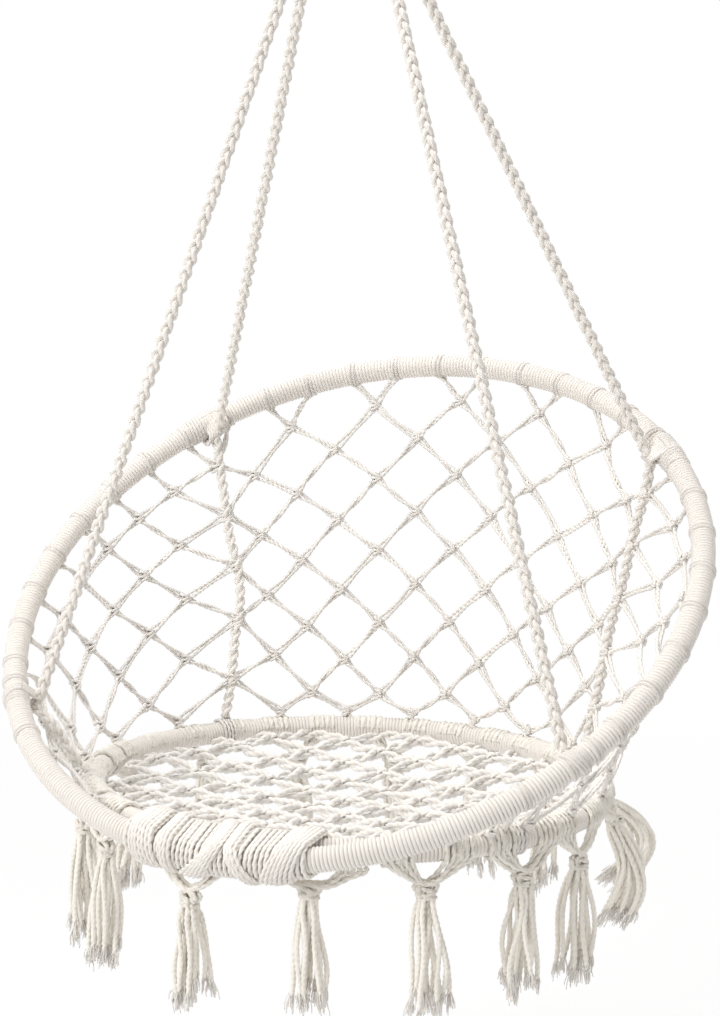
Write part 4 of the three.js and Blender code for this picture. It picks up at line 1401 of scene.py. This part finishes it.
class CHAIR_OT_tassels(bpy.types.Operator):
    """Hang the tassels: cords over the ring, gathered in a knot, with frayed strands."""

    bl_idname = "chair.tassels"
    bl_label = "Tassels"

    def execute(self, context):
        scene = context.scene
        chair, sizes = Chair(scene), scene.chair_fringe
        for k, degrees in enumerate(TASSEL_ANGLES):
            self.tassel(chair, sizes, k + 1, degrees)
        return {"FINISHED"}

    def tassel(self, chair, sizes, number, degrees):
        """One tassel: swags into a knot, strands below it, hoops round it, and frayed ends."""
        chance = random.Random(100 + number)
        outward = chair.seat.outward(degrees)
        outward.z = 0
        outward.normalize()
        along = UP.cross(outward)
        blown = BLOWN_SHARES.get(number, 0.0)
        lower = sizes.low_knot if number == 1 else -BLOWN_RISE if blown else 0.0
        out = sizes.side_out * math.sin(math.radians(degrees)) ** 2 + BLOWN_OUT * blown
        top = chair.seat.at(degrees, out) - UP * (sizes.drop + lower)
        hang = Hang(top, top - UP * sizes.knot_height, along, outward)
        drift = along * chance.uniform(-0.006, 0.006)
        lines = self.swags(chair, sizes, degrees, hang, chance)
        length = (sizes.strand - lower * 0.6) * (BLOWN_SHORT if blown else 1)
        ends = []
        for k in range(sizes.strands):
            points = self.strand(sizes, k, length, blown, drift, hang, chance)
            twist = chance.uniform(72, 84)
            lines.append(cord(points, sizes.cord, twist, 0.0021, phase=k, taper=STRAND_TAPER))
            ends.append((points[-1], (points[-1] - points[-2]).normalized()))
        lines += self.hoops(sizes, number, hang)
        add_cords(
            f"tassel_cords_{number:02d}", "spun", lines, "tassel_cotton", "seat",
            [f"tassel_{number:02d}"],
        )
        add_cords(
            f"frayed_ends_{number:02d}", "fibre", self.fibres(ends, chance), "frayed_cotton",
            "seat",
        )

    def swags(self, chair, sizes, degrees, hang, chance):
        """Cords from the ring on both sides, or from under the binding, down into the knot."""
        ring = chair.seat
        bound = 180 - abs(degrees) < 2 * math.degrees(sizes.binding_half)
        turn = sizes.swag_reach * (BOUND_SWAG if bound else 1) / ring.per_degree
        lines = []
        for sign in (-1, 1):
            for k in range(SWAG_CORDS):
                shift = (k - SWAG_CORDS // 2) * sizes.cord * 1.15 / ring.per_degree
                points = self.over_ring(chair, degrees + sign * (turn + shift), bound, sizes)
                ahead = sizes.cord * (0.5 if k % 2 else -0.4) + chance.uniform(-0.001, 0.001)
                close = hang.along * (sign * (0.3 + 0.4 * k) * sizes.cord) + hang.outward * ahead
                arrive = hang.top + close + UP * 0.003
                sag = -UP * chance.uniform(0.003, 0.008)
                lift = hang.outward * (0.001 + ahead * 0.6)
                points.append(points[-1].lerp(arrive, 0.5) + sag + lift)
                points += [arrive, hang.top.lerp(hang.foot, 0.6) + close * 0.7]
                phase = chance.uniform(0, 6)
                lines.append(cord(points, sizes.cord, twist=SWAG_TWIST, phase=phase))
        return lines

    def over_ring(self, chair, degrees, bound, sizes):
        """A swag's cord comes over the seat ring, or from under the binding."""
        ring = chair.seat
        if bound:
            start = ring.at(degrees)
            return [start - UP * (chair.wrap + drop) for drop in (0.003, 0.0085)]
        proud = 0.4 if abs(degrees) > 90 else -0.2
        reach = chair.wrap + sizes.cord * proud
        shares = (0.98, 0.75, 0.5, 0.25, 0.0, -0.2)
        return [ring.around(degrees, math.pi * share, reach) for share in shares]

    def strand(self, sizes, k, length, blown, drift, hang, chance):
        """A strand's places below the knot: every third hangs inside, and all sway a little."""
        ring_share = 0.35 if k % 3 == 0 else 1.0
        round_knot = FULL_TURN * k / sizes.strands + chance.uniform(-0.15, 0.15)
        aside = hang.along * math.cos(round_knot) + hang.outward * math.sin(round_knot)
        long = length * chance.uniform(0.84, 1.06)
        near = sizes.knot_width * 0.36 * ring_share
        far = sizes.spread * ring_share * chance.uniform(0.7, 1.25)
        lean = drift + hang.along * chance.uniform(-0.006, 0.006)
        lean = lean + hang.outward * chance.uniform(-0.004, 0.004)
        swing, start = chance.uniform(0.0012, 0.0034), chance.uniform(0, 6)
        points = [hang.top.lerp(hang.foot, 0.4) + aside * near * 0.8, hang.foot + aside * near]
        for t in (0.12, 0.28, 0.46, 0.64, 0.82, 1.0):
            wave = hang.along * (swing * math.sin(6 * t + start))
            wave += hang.outward * (swing * 0.8 * math.cos(5 * t + start))
            swell = near + (far - near) * math.sin(0.5 * math.pi * t) ** 0.8
            bow = hang.outward * (sizes.blown * blown * math.sin(0.85 * math.pi * t))
            points.append(hang.foot - UP * long * t + aside * swell + lean * t + wave + bow)
        return points

    def hoops(self, sizes, number, hang):
        """The turns of cord that gather a tassel in its knot."""
        reach = sizes.knot_width / 2 - sizes.cord * 0.25
        lines = []
        for lift, slant in ((0.1, 0.5), (0.45, -0.45), (0.7, 0.3)):
            points = []
            for _, turn in wound(1):
                angle = turn + number
                aside = hang.along * math.cos(angle) + hang.outward * (math.sin(angle) * 0.92)
                height = sizes.knot_height * (lift + slant * 0.5 * math.cos(angle))
                points.append(hang.top - UP * height + aside * reach)
            lines.append(cord(points, sizes.cord * 0.95, twist=KNOT_TWIST))
        return lines

    def fibres(self, ends, chance):
        """Stray fibres at the strands' ends."""
        lines = []
        for end, heading in ends:
            for _ in range(FIBRES):
                lean = Vector([chance.gauss(0, 0.0019) for _ in range(3)])
                stray = Vector([chance.gauss(0, 0.0012) for _ in range(3)])
                start = end - heading * 0.004 + lean * 0.5
                tip = end + heading * chance.uniform(0.007, 0.015) + lean * 1.3 + stray
                points = [start, start.lerp(tip, 0.5) + lean * 0.4, tip]
                lines.append(cord(points, FIBRE_WIDTH, step=0.004))
        return lines


# Add-on

PIECES = (
    CHAIR_OT_stage,
    CHAIR_OT_ropes,
    CHAIR_OT_turns,
    CHAIR_OT_rings,
    CHAIR_OT_stays,
    CHAIR_OT_back_net,
    CHAIR_OT_seat_net,
    CHAIR_OT_binding,
    CHAIR_OT_tassels,
)


class CHAIR_PT_pieces(bpy.types.Panel):
    """Lists the chair's pieces and sizes."""

    bl_idname = "CHAIR_PT_pieces"
    bl_label = "Hammock chair"
    bl_space_type = "VIEW_3D"
    bl_region_type = "UI"
    bl_category = "Chair"

    def draw(self, context):
        for piece in PIECES:
            self.layout.operator(piece.bl_idname)
        for name, group in GROUPS.items():
            box = self.layout.box()
            box.label(text=group.__name__)
            for size in group.__annotations__:
                box.prop(getattr(context.scene, name), size)


def register():
    for group in GROUPS.values():
        bpy.utils.register_class(group)
    for name, group in GROUPS.items():
        setattr(bpy.types.Scene, name, PointerProperty(type=group))
    for piece in (*PIECES, CHAIR_PT_pieces):
        bpy.utils.register_class(piece)


def unregister():
    for piece in reversed((*PIECES, CHAIR_PT_pieces)):
        bpy.utils.unregister_class(piece)
    for name, group in GROUPS.items():
        delattr(bpy.types.Scene, name)
        bpy.utils.unregister_class(group)


def main():
    register()
    for piece in PIECES:
        group, name = piece.bl_idname.split(".")
        getattr(getattr(bpy.ops, group), name)()


if __name__ == "__main__":
    main()
